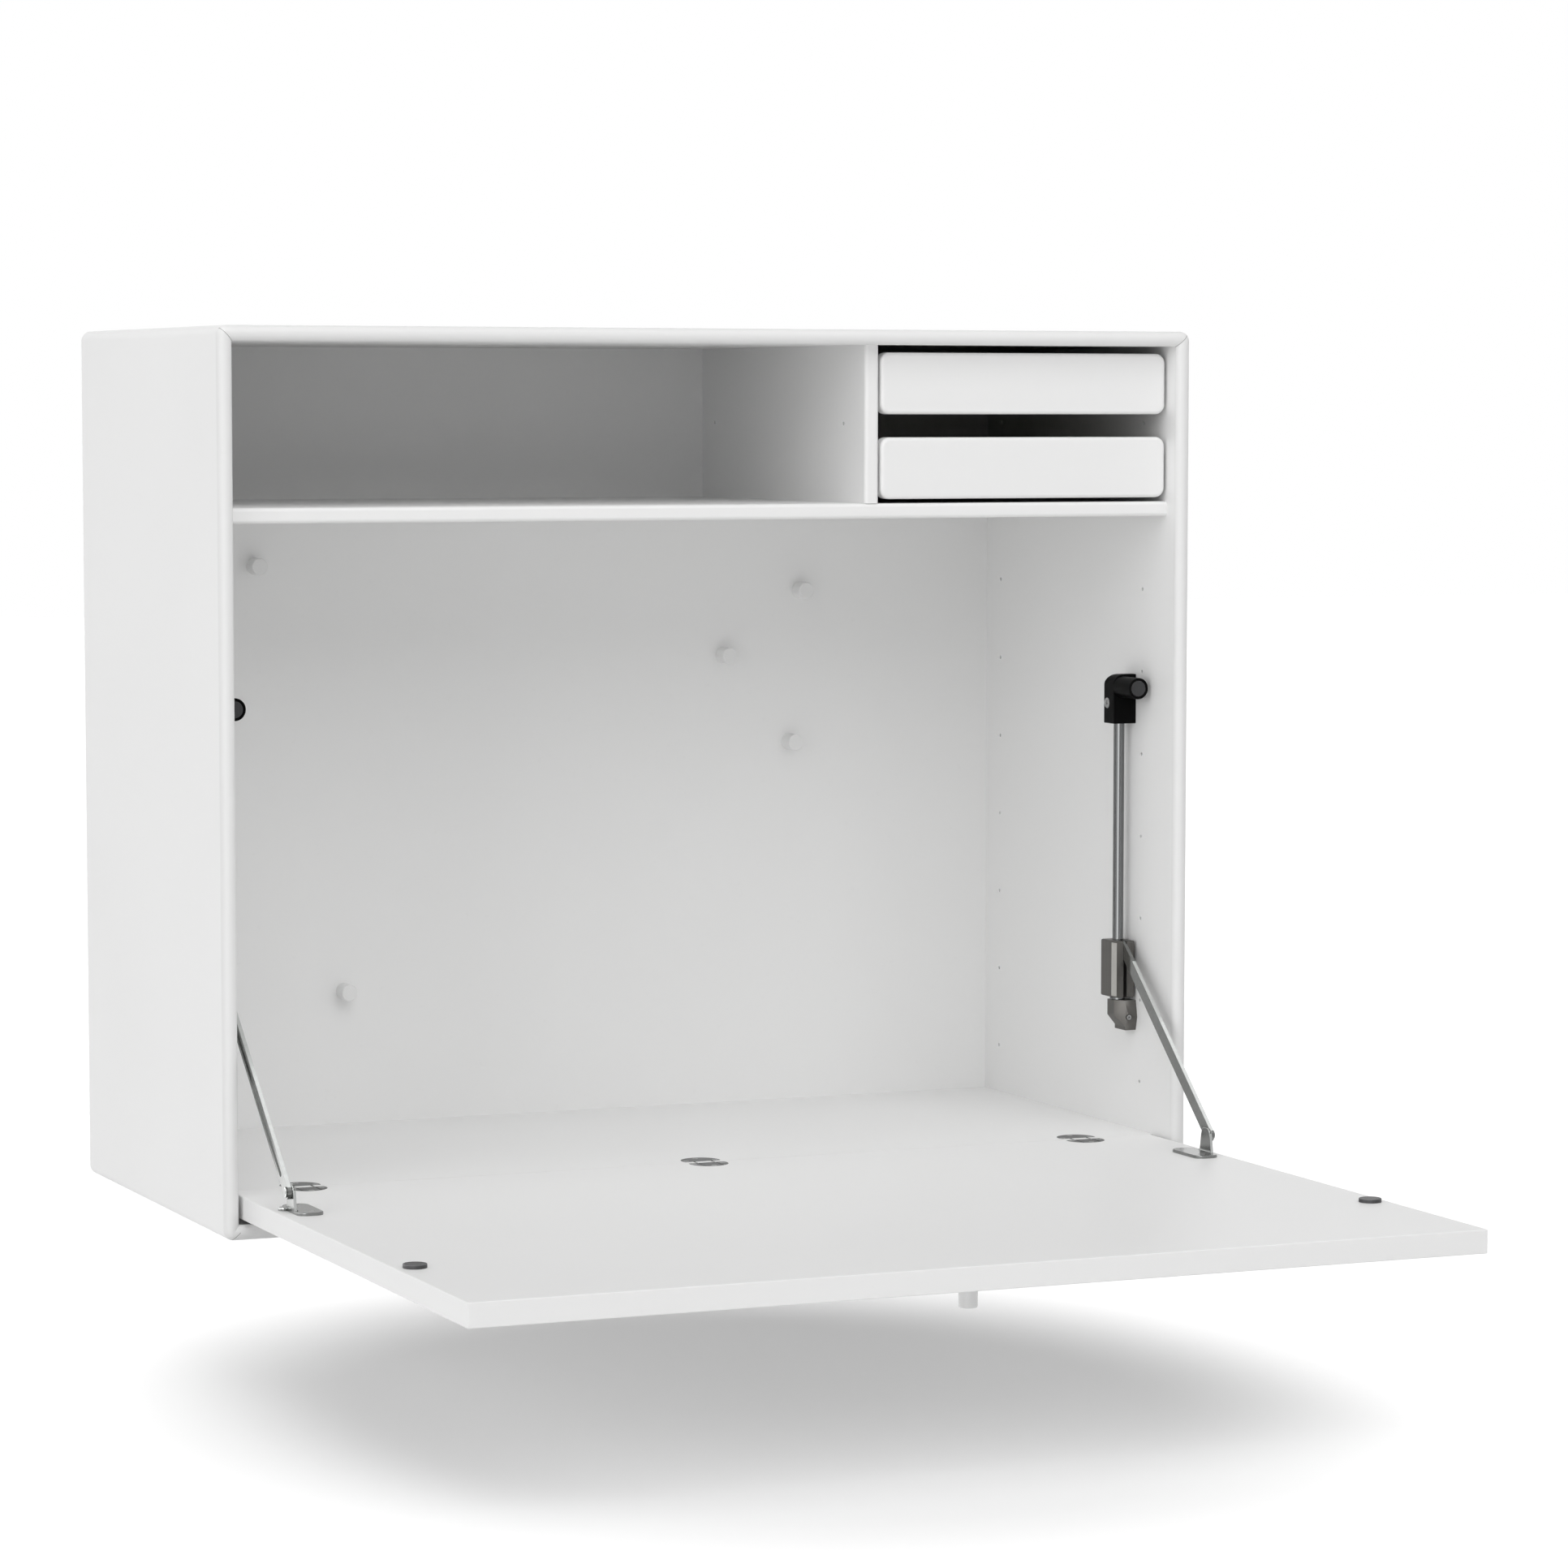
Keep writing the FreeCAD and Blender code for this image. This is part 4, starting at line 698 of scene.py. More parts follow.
def extruded(drawing, outline, along):
    """A prism: a flat outline pushed along a direction. Gives its two ends, then its sides."""
    along = Vector(along)
    near = [drawing.verts.new(Vector(point)) for point in outline]
    far = [drawing.verts.new(Vector(point) + along) for point in outline]
    count = len(outline)
    faces = [drawing.faces.new(near), drawing.faces.new(list(reversed(far)))]
    for index in range(count):
        after = (index + 1) % count
        faces.append(drawing.faces.new([near[index], far[index], far[after], near[after]]))
    return faces


def block(drawing, low, high):
    """A box between two corners."""
    corners = ((low[X], low[Y]), (high[X], low[Y]), (high[X], high[Y]), (low[X], high[Y]))
    extruded(drawing, [(x, y, low[Z]) for x, y in corners], (0.0, 0.0, high[Z] - low[Z]))


def rounded(drawing, wanted, radius, segments=3, mark=True):
    """Rounds the edges that `wanted` picks, and marks the new faces as worn and highlit edges."""
    edge = drawing.faces.layers.float["edge"]
    edges = [item for item in drawing.edges if len(item.link_faces) == 2 and wanted(item)]
    result = bmesh.ops.bevel(drawing, geom=edges, offset=radius, segments=segments, profile=0.5,
                             affect="EDGES", clamp_overlap=True)
    for face in result["faces"]:
        face[edge] = 1.0 if mark else 0.0


def polish_and_highlight(drawing, faces):
    """Marks faces as worn bright, which also paints their highlight."""
    for face in faces:
        face[drawing.faces.layers.float["edge"]] = 1.0


def is_corner(item, least=35.0):
    """True for an edge that turns by more than `least` degrees."""
    return item.calc_face_angle(0.0) > math.radians(least)


def on_plane(item, axis, value, near=0.01):
    """True for an edge that lies in a plane."""
    return all(abs(vert.co[axis] - value) < near for vert in item.verts)


def runs_along(item, axis):
    """True for an edge that is parallel to an axis."""
    way = item.verts[1].co - item.verts[0].co
    return abs(way[axis]) > 0.999 * way.length


print("drawing tools ready")

# %% Cutting tools and loose pieces
def cut_away(drawing, point, outward):
    """Removes what lies beyond a plane and closes the cut."""
    geometry = drawing.verts[:] + drawing.edges[:] + drawing.faces[:]
    cut = bmesh.ops.bisect_plane(drawing, geom=geometry, plane_co=point, plane_no=outward, clear_outer=True)
    rim = [item for item in cut["geom_cut"] if isinstance(item, bmesh.types.BMEdge)]
    bmesh.ops.contextual_create(drawing, geom=rim)


def bored(obj, tool_drawing, side):
    """Cuts a tool's shape out of a piece with a Boolean modifier."""
    tool = new_piece("boring_tool", tool_drawing, side)
    cut = obj.modifiers.new("bore", "BOOLEAN")
    cut.object = tool
    cut.solver = "EXACT"
    cut.use_self = True
    plain_mesh(obj)
    bpy.data.objects.remove(tool)
    return even_shading(obj)


def bored_pair(part, drawing, body, finish, node, draw_tool):
    """The left and the right piece of one drawing, less what `draw_tool` draws."""
    for side, sign in SIDES:
        piece = new_piece(side + "_" + part, drawing, sign)
        tool = new_drawing()
        draw_tool(tool)
        bored(piece, tool, sign)
        tool.free()
        settle(piece, body.format(side=side), finish, node.format(side=side))
    drawing.free()


def loose_parts(node):
    """The boxes, in millimetres, of the separate pieces in one measured part."""
    work = bmesh.new()
    work.from_mesh(nodes[node].data)
    bmesh.ops.remove_doubles(work, verts=work.verts, dist=WELD * MM)
    boxes, seen = [], set()
    for first in work.verts:
        waiting, island = [first], []
        while waiting:
            vert = waiting.pop()
            if vert in seen:
                continue
            seen.add(vert)
            island.append(vert.co / MM)
            waiting += [item.other_vert(vert) for item in vert.link_edges]
        if island:
            boxes.append((Vector(map(min, zip(*island))), Vector(map(max, zip(*island)))))
    work.free()
    return boxes


print("cutting tools ready")

# %% [markdown]
# ## Guide rods
# The carriage slides on a chromed rod of nine millimetres. It is a lathe shape, so it is drawn as a
# profile that turns round an axis: chamfered ends, and the collar that stops the carriage.

# %% Guide rods
ROD_R = 4.5
ROD_CHAMFER = 0.6
COLLAR_LOW = -498.0
COLLAR_T = 2.2
COLLAR_EDGES = (0.3, 0.5)

low, high = box_mm("right_stay_guide_rod")
rod_x, rod_y = (low[X] + high[X]) / 2, (low[Y] + high[Y]) / 2
collar_r = (high[X] - low[X]) / 2
rod_long, collar_from = high[Z] - low[Z], COLLAR_LOW - low[Z]
collar_to = collar_from + COLLAR_T
rod_profile = [(0.0, 0.0), (0.0, ROD_R - ROD_CHAMFER), (ROD_CHAMFER, ROD_R), (collar_from, ROD_R),
               (collar_from, collar_r - COLLAR_EDGES[0]), (collar_from + COLLAR_EDGES[0], collar_r),
               (collar_to - COLLAR_EDGES[1], collar_r), (collar_to, collar_r - COLLAR_EDGES[1]),
               (collar_to, ROD_R), (rod_long - ROD_CHAMFER, ROD_R), (rod_long, ROD_R - ROD_CHAMFER),
               (rod_long, 0.0)]
drawing = turned(new_drawing(), (rod_x, rod_y, low[Z]), (0, 0, 1), rod_profile, 64)
pair("polished_rod", drawing, "cabinet", "bright_chrome", "{side}_stay_guide_rod")
print("rod", round(rod_long, 1), "mm long at", round(rod_x, 1), round(rod_y, 1))

# %% [markdown]
# ## Upper brackets
# A moulded elbow closes the rod at the top. Its top is rounded towards the inside and the back with a
# large radius, and all other edges have the small radius that any moulding needs. Both are bevels, the
# large one first, because a bevel of the small edges would otherwise be cut by it.

# %% Upper brackets
ELBOW_ROUND = 9.0
MOULD_R = 0.7
HEAD_BORE_R = 4.85
HEAD_BORE_RIM_R = 5.3
HEAD_DEEP = 3.2

low, high = box_mm("right_stay_elbow")
drawing = new_drawing()
block(drawing, low, high)
rounded(drawing, lambda item: on_plane(item, Z, high[Z])
        and (on_plane(item, Y, high[Y]) or on_plane(item, X, low[X])), ELBOW_ROUND, 12, mark=False)
rounded(drawing, lambda item: is_corner(item, 50.0) and not on_plane(item, X, high[X]), MOULD_R)
screws_in_elbow = [item for item in loose_parts("stay_bracket_screws")
                   if item[0][X] > 0 and item[1][X] > high[X]]


def elbow_bores(tool):
    """A straight bore for each screw's head, with a chamfer at its mouth."""
    for screw_low, screw_high in screws_in_elbow:
        middle = (screw_low + screw_high) / 2
        turned(tool, (screw_low[X], middle[Y], middle[Z]), (1, 0, 0),
               [(-1.0, 0.0), (-1.0, HEAD_BORE_RIM_R), (0.25, HEAD_BORE_R), (HEAD_DEEP, HEAD_BORE_R),
                (HEAD_DEEP, 0.0)], 40)


bored_pair("elbow_bracket", drawing, "cabinet", "black_plastic", "{side}_stay_elbow", elbow_bores)

# %% [markdown]
# ## Magnet barrels
# A barrel stands out from each elbow, and a magnet sits a little below its rim. The rim is a lip: the
# profile goes out along the side, rounds over, and comes back down the bore, which gives the wall its
# thickness. The magnet has a small chamfer, so that a thin dark ring shows round it.

# %% Magnet barrels
RIM_R = 0.8
MAGNET_SINK = 0.8
MAGNET_T = 1.8
MAGNET_PLAY = 0.35
MAGNET_EDGE = 0.3

low, high = box_mm("right_stay_barrel")
magnet_low, magnet_high = box_mm("stay_magnets")
centre = ((low[X] + high[X]) / 2, high[Y], (low[Z] + high[Z]) / 2)
barrel_r, bore_r = (high[Z] - low[Z]) / 2, (magnet_high[Z] - magnet_low[Z]) / 2
reach = high[Y] - low[Y]
floor_at = reach - MAGNET_SINK - 1.0
barrel_profile = [(0.0, 0.0), (0.0, barrel_r), (reach - RIM_R, barrel_r),
                  (reach - RIM_R * 0.4, barrel_r - RIM_R * 0.25), (reach, barrel_r - RIM_R),
                  (reach, bore_r + 0.25), (reach - 0.25, bore_r), (floor_at, bore_r - 0.3), (floor_at, 0.0)]
drawing = turned(new_drawing(), centre, (0, -1, 0), barrel_profile, 56, marked=(2, 3, 5))
pair("magnet_barrel", drawing, "cabinet", "black_plastic", "{side}_stay_barrel")

magnets = new_drawing()
magnet_r = bore_r - MAGNET_PLAY
for sign in (-1, 1):
    turned(magnets, (sign * centre[X], magnet_low[Y] + MAGNET_T, centre[Z]), (0, -1, 0),
           [(0.0, 0.0), (0.0, magnet_r), (MAGNET_T - MAGNET_EDGE, magnet_r),
            (MAGNET_T, magnet_r - MAGNET_EDGE), (MAGNET_T, 0.0)], 56, marked=(2,))
piece = new_piece("magnet_faces", magnets, 1)
magnets.free()
settle(piece, "cabinet", "magnet_grey", "stay_magnets")

# %% [markdown]
# ## Lower brackets
# The block that closes the rod at the bottom is a zinc casting. Its faces are planes, so it is made as
# a caster's pattern would be: a prism with the outline seen from the front, from which three planes
# cut the two slopes of its front and the corner towards the desk. A bevel then breaks every edge. The
# grub screw sits in a small countersink, cut by a Boolean modifier.

# %% Lower brackets
BRACKET_FOOT = 10.0
BRACKET_FOOT_RISE = 3.5
BRACKET_SLOPE_RISE = 12.0
BRACKET_NOSE = 2.6
BRACKET_NOSE_RISE = 11.0
BRACKET_CORNER = 6.6
SPIGOT_LEN = 8.0
CAST_EDGE = 0.35
GRUB_BORE_R = 2.35
GRUB_MOUTH_R = 3.5
GRUB_BORE_DEEP = 6.0
GRUB_ASIDE = 3.5

low, high = box_mm("right_stay_socket")
wall_x = high[X] - SPIGOT_LEN
front_y = low[Y] + BRACKET_NOSE
foot_x = wall_x - BRACKET_FOOT
outline = [(wall_x, high[Z]), (low[X], high[Z]), (low[X], low[Z] + BRACKET_SLOPE_RISE),
           (foot_x, low[Z] + BRACKET_FOOT_RISE), (foot_x, low[Z]), (wall_x, low[Z])]
drawing = new_drawing()
extruded(drawing, [(x, low[Y], z) for x, z in outline], (0, high[Y] - low[Y], 0))
cut_away(drawing, (wall_x, front_y, high[Z]), (0, BRACKET_NOSE_RISE - (high[Z] - low[Z]), BRACKET_NOSE))
cut_away(drawing, (wall_x, front_y, low[Z]), (0, -BRACKET_NOSE_RISE, -BRACKET_NOSE))
cut_away(drawing, (low[X], front_y + BRACKET_CORNER, 0), (-1, -1, 0))
rounded(drawing, lambda item: is_corner(item, 8.0) and not on_plane(item, X, wall_x), CAST_EDGE, 2)
grub = (rod_x + GRUB_ASIDE, low[Y], low[Z] + BRACKET_NOSE_RISE)


def grub_bore(tool):
    """The grub screw's bore, widened at its mouth."""
    turned(tool, grub, (0, 1, 0),
           [(-1.0, 0.0), (-1.0, GRUB_MOUTH_R), (1.0, GRUB_BORE_R), (GRUB_BORE_DEEP, GRUB_BORE_R),
            (GRUB_BORE_DEEP, 0.0)], 40)


bored_pair("lower_bracket", drawing, "cabinet", "grey_zinc", "{side}_stay_socket", grub_bore)

# %% [markdown]
# ## Carriages
# The carriage is cast round the rod. Seen from above it is a rectangle with one corner cut off and a
# slot in front, in which the arm hangs. That outline, pushed upwards, is the whole block. Its upper
# and lower rims are rounded, and the cut corner is made lighter: partly ground bright, partly a painted
# highlight. The measured model has four shallow grooves down the inner cheek, and bores for the rod and
# the rivet. This block is made without them.

# %% Carriages
CARRIAGE_CHAMFER = (1.0, 7.6)
CARRIAGE_R = 1.5
SLOT_HALF = 1.7

low, high = box_mm("right_stay_carriage")
slot_deep = rod_y - 0.5
outline = [(low[X], high[Y]), (low[X], low[Y] + CARRIAGE_CHAMFER[Y]), (low[X] + CARRIAGE_CHAMFER[X], low[Y]),
           (rod_x - SLOT_HALF, low[Y]), (rod_x - SLOT_HALF, slot_deep), (rod_x + SLOT_HALF, slot_deep),
           (rod_x + SLOT_HALF, low[Y]), (high[X], low[Y]), (high[X], high[Y])]
drawing = new_drawing()
faces = extruded(drawing, [(x, y, low[Z]) for x, y in outline], (0, 0, high[Z] - low[Z]))
# The cut corner's face is made lighter: partly ground bright, partly a painted highlight.
polish_and_highlight(drawing, [faces[2 + 1]])
in_slot = (rod_x - SLOT_HALF - 0.1, rod_x + SLOT_HALF + 0.1)
rounded(drawing, lambda item: runs_along(item, Z) and on_plane(item, X, high[X]), CARRIAGE_R, 5, mark=False)
rounded(drawing, lambda item: (on_plane(item, Z, low[Z]) or on_plane(item, Z, high[Z]))
        and not all(in_slot[0] < vert.co[X] < in_slot[1] for vert in item.verts), CARRIAGE_R, 5, mark=False)
rounded(drawing, lambda item: is_corner(item, 40.0) and runs_along(item, Z), 0.3, 2)
pair("carriage_block", drawing, "{side}_carriage", "grey_zinc", "{side}_stay_carriage")
print("carriage", round(high[Z] - low[Z], 1), "mm high")

# %% [markdown]
# ## Rivets and studs
# The arm turns on a rivet in the carriage and on a stud in the foot. A riveted head isn't a flat disc:
# the press leaves it slightly domed, with a ring where the tool stopped. Again a profile says it all.
# The rivets' heads lie inside the carriage's block, which has no bore for them, so they can't be seen:
# the outer head is just under the surface, the inner one deeper.

# %% Rivets and studs
RIVET_STUB = 1.0
OUTER_HEAD_SUNK = 0.36
INNER_HEAD_SUNK = 1.2


def riveted_head(drawing, start, axis, radius, length):
    """A shank with a domed head at its start."""
    dome = [(-0.35, 0.0), (-0.33, radius * 0.35), (-0.22, radius * 0.62), (-0.05, radius * 0.66),
            (-0.05, radius * 0.74), (-0.12, radius * 0.80), (0.10, radius * 0.97), (0.35, radius)]
    turned(drawing, start, axis, dome + [(length, radius), (length, 0.0)], 40, marked=(3, 4, 5, 6))


for side, sign in SIDES:
    low, high = box_mm(side + "_stay_rivet")
    middle = (low + high) / 2
    radius = (high[Z] - low[Z]) / 2
    drawing = new_drawing()
    for face, inward in ((low[X], 1), (high[X], -1)):
        sunk = OUTER_HEAD_SUNK if inward == -sign else INNER_HEAD_SUNK
        riveted_head(drawing, (face + inward * sunk, middle[Y], middle[Z]), (inward, 0, 0),
                     radius, RIVET_STUB)
    settle(new_piece(side + "_rivet_heads", drawing, 1), side + "_carriage", "brushed_steel",
           side + "_stay_rivet")
    drawing.free()

STUD_R = 2.5
STUD_HEAD_R = 4.0
STUD_HEAD_T = 1.5
STUD_BEYOND_ARM = 2.4
low, high = box_mm("stay_foot_studs")
stud = ((low[Y] + high[Y]) / 2, (low[Z] + high[Z]) / 2)
arm_low, arm_high = box_mm("right_stay_arm")
stud_len = high[X] - (arm_low[X] - STUD_BEYOND_ARM)
drawing = new_drawing()
for sign in (-1, 1):
    turned(drawing, (sign * high[X], *stud), (-sign, 0, 0),
           [(0.0, 0.0), (0.0, STUD_HEAD_R - 0.5), (0.5, STUD_HEAD_R), (STUD_HEAD_T, STUD_HEAD_R),
            (STUD_HEAD_T, STUD_R), (stud_len - 0.9, STUD_R), (stud_len - 0.5, STUD_R - 0.4),
            (stud_len - 0.5, 1.1), (stud_len - 1.1, 0.0)],
           40, marked=(1, 5, 6))
settle(new_piece("foot_studs", drawing, 1), "flap", "brushed_steel", "stay_foot_studs")
drawing.free()
print("stud at", [round(v, 1) for v in stud])

# %% [markdown]
# ## Arms
# Each arm is a flat steel bar, sheared from strip and barrelled, so its edges are broken, and its long
# front edge is made lighter: partly polished bright, partly a painted highlight. It is drawn as an
# outline in the plane of its side, with a round eye at each end, pushed out by its thickness. A shallow
# groove stiffens it on the outer face; it is cut with a Boolean modifier, because a groove with round
# ends is simply a long pill.

# %% Arms
ARM_TOP_R = 4.6
ARM_LOW_R = 5.4
ARM_THROAT = 21.6
ARM_EDGE = 0.35
GROOVE_HALF = 2.3
GROOVE_DEPTH = 0.9
GROOVE_FROM_TOP = 36.0
GROOVE_FROM_STUD = 18.0
EYE_STEPS = 14
PIVOT_AHEAD = 9.8
PIVOT_BELOW_TOP = 5.0

low, high = arm_low, arm_high
arm_top = Vector((0.0, rod_y - PIVOT_AHEAD, box_mm("right_stay_carriage")[1][Z] - PIVOT_BELOW_TOP))
arm_foot = Vector((0.0, *stud))
way = (arm_foot - arm_top).normalized()
across = way.cross(Vector((1.0, 0.0, 0.0)))
arm_long = (arm_foot - arm_top).length


def eye(centre, radius, first, last):
    """Points round an eye, between two angles that are measured from `across` towards `way`."""
    angles = [first + (last - first) * step / EYE_STEPS for step in range(EYE_STEPS + 1)]
    return [centre + (across * math.cos(a) + way * math.sin(a)) * radius for a in angles]


outline = eye(arm_foot, ARM_LOW_R, 0.0, math.pi) + [arm_top + way * ARM_THROAT - across * ARM_LOW_R]
outline += eye(arm_top, ARM_TOP_R, math.pi, 2.0 * math.pi)
outline += [arm_top + way * ARM_THROAT + across * ARM_LOW_R]
drawing = new_drawing()
faces = extruded(drawing, [(low[X], point.y, point.z) for point in outline], (high[X] - low[X], 0, 0))
# The long front edge is made lighter: partly polish, partly a painted highlight.
polish_and_highlight(drawing, [faces[-1]])
rounded(drawing, lambda item: is_corner(item, 60.0), ARM_EDGE, 2)

groove_start, groove_end = arm_top + way * GROOVE_FROM_TOP, arm_foot - way * GROOVE_FROM_STUD
pill = eye(groove_end, GROOVE_HALF, 0.0, math.pi)
pill += eye(groove_start, GROOVE_HALF, math.pi, 2.0 * math.pi)


def groove(tool):
    """A long pill that reaches into the arm's outer face."""
    extruded(tool, [(high[X] - GROOVE_DEPTH, point.y, point.z) for point in pill], (2.0, 0, 0))


bored_pair("steel_arm", drawing, "{side}_arm", "brushed_steel", "{side}_stay_arm", groove)
print("arm", round(arm_long, 1), "mm between its eyes")

# %% [markdown]
# ## Feet
# A foot is one pressing: a plate with rounded corners, a lug for the third screw, and a tab bent up
# beside the arm. Sheet can't be bent to a sharp corner, so a small concave fillet joins plate and tab.
# The tab's front and top edges are made lighter, partly as polish and partly as painted highlight, and
# part of the bend is made lighter as a painted highlight: the bright line that the concave fillet catches.

# %% Feet
PLATE_T = 2.4
PLATE_R = 7.5
TAB_T = 2.2
TAB_BASE = 19.5
TAB_TOP = 12.5
TAB_OVER = 6.1
BEND_R = 1.8
LUG_R = 4.4
LUG_OUT = 1.1
LUG_REAR = 9.6
PLATE_RIM = 0.6
PLATE_PLAY = 0.2
SUNK_IN_PLATE = 0.5
COUNTERSINK_R = 2.75
COUNTERSINK_DEEP = 1.75
SCREW_HOLE_R = 1.3

low, high = box_mm("right_stay_foot")
plate_out = arm_low[X] - PLATE_PLAY
plate_y = (low[Y] + high[Y]) / 2
plate_top = low[Z] + PLATE_T
drawing = new_drawing()
block(drawing, low, (plate_out, high[Y], plate_top))
rounded(drawing, lambda item: runs_along(item, Z), PLATE_R, 8, mark=False)
rounded(drawing, lambda item: on_plane(item, Z, plate_top), PLATE_RIM, 3, mark=False)
tab_top = stud[1] + TAB_OVER
tab_low = plate_top - SUNK_IN_PLATE
tab = [(stud[0] - TAB_BASE / 2, tab_low), (stud[0] + TAB_BASE / 2, tab_low),
       (stud[0] + TAB_TOP / 2, tab_top), (stud[0] - TAB_TOP / 2, tab_top)]
tab_in = plate_out - TAB_T
faces = extruded(drawing, [(tab_in, y, z) for y, z in tab], (TAB_T, 0, 0))
# The tab's front and top edges are made lighter: partly polish, partly a painted highlight.
polish_and_highlight(drawing, faces[2 + 2:2 + 4])
rounded(drawing, lambda item: runs_along(item, X) and on_plane(item, Z, tab_top), TAB_TOP / 3, 6, mark=False)
rounded(drawing, lambda item: is_corner(item, 40.0)
        and min(vert.co[Z] for vert in item.verts) > plate_top + 0.2, 0.3, 2)
bend = [(tab_in + 0.2, plate_top - 0.2), (tab_in + 0.2, plate_top + BEND_R)]
bend += [(tab_in - BEND_R + BEND_R * math.cos(a), plate_top + BEND_R - BEND_R * math.sin(a))
         for a in (math.radians(step * 15.0) for step in range(0, 7))]
bend += [(tab_in - BEND_R, plate_top - 0.2)]
bend_from = stud[0] - TAB_BASE / 2 + 0.3
faces = extruded(drawing, [(x, bend_from, z) for x, z in bend], (0, TAB_BASE - 0.6, 0))
# Part of the bend is made lighter: a painted highlight on the concave fillet.
polish_and_highlight(drawing, faces[2 + 4:2 + 6])
turned(drawing, (plate_out + LUG_OUT, plate_y + LUG_REAR, low[Z]), (0, 0, 1),
       [(0.0, 0.0), (0.0, LUG_R), (PLATE_T - PLATE_RIM, LUG_R), (PLATE_T - 0.2, LUG_R - 0.2),
        (PLATE_T, LUG_R - PLATE_RIM), (PLATE_T, 0.0)], 32, marked=(2, 3))


def foot_bores(tool):
    """A countersunk hole for each screw of the right-hand foot."""
    for screw_low, screw_high in loose_parts("stay_foot_screws"):
        if screw_high[X] > 0:
            middle = (screw_low + screw_high) / 2
            turned(tool, (middle[X], middle[Y], plate_top), (0, 0, -1),
                   [(-0.5, 0.0), (-0.5, COUNTERSINK_R), (0.1, COUNTERSINK_R),
                    (COUNTERSINK_DEEP, SCREW_HOLE_R), (PLATE_T + 0.5, SCREW_HOLE_R),
                    (PLATE_T + 0.5, 0.0)], 32)


bored_pair("foot_plate", drawing, "flap", "grey_steel", "{side}_stay_foot", foot_bores)

# %% [markdown]
# ## Screws
# Dozens of screws hold this desk. They are one shape that repeats in a few sizes, so a Geometry
# Nodes tree makes it: a cylinder whose radius follows a rule along its length (a rim, a cone under the
# head, the shank, the tip), less a tapered cross. The tree sets one on each point of a small mesh,
# turned to the point's own axis, and spins it by a random angle, as nobody lines screws up.

# %% The screw tree
SCREW_SIZES = {"Head Radius": 2.6, "Head Depth": 1.6, "Shank Radius": 1.2, "Length": 14.0,
               "Recess Width": 0.8, "Recess Depth": 1.0, "Rim": 0.25}
SCREW_SIDES = 24
SCREW_STEPS = 16
RECESS_SPAN = 1.25
RECESS_TAPER = 0.45


def tree_with(name, sizes):
    """A Geometry Nodes tree with one input for each size, and a wire on its inputs."""
    tree = bpy.data.node_groups.new(name, "GeometryNodeTree")
    tree.interface.new_socket("Geometry", in_out="OUTPUT", socket_type="NodeSocketGeometry")
    tree.interface.new_socket("Geometry", in_out="INPUT", socket_type="NodeSocketGeometry")
    for size, value in sizes.items():
        tree.interface.new_socket(size, in_out="INPUT", socket_type="NodeSocketFloat").default_value = value
    tree.interface.new_socket("Seed", in_out="INPUT", socket_type="NodeSocketInt").default_value = 1
    tree.interface.new_socket("Finish", in_out="INPUT", socket_type="NodeSocketMaterial")
    entry = tree.nodes.new("NodeGroupInput")
    return tree, {socket.name: Wire(tree, socket) for socket in entry.outputs if socket.name}


def close_tree(tree, result, finish):
    """Realizes what the tree instanced, gives it its material and ends the tree."""
    real = result.node("GeometryNodeRealizeInstances", {"Geometry": result})
    dressed = result.node("GeometryNodeSetMaterial", {"Geometry": real, "Material": finish})
    last = tree.nodes.new("NodeGroupOutput")
    tree.links.new(dressed.socket, last.inputs["Geometry"])


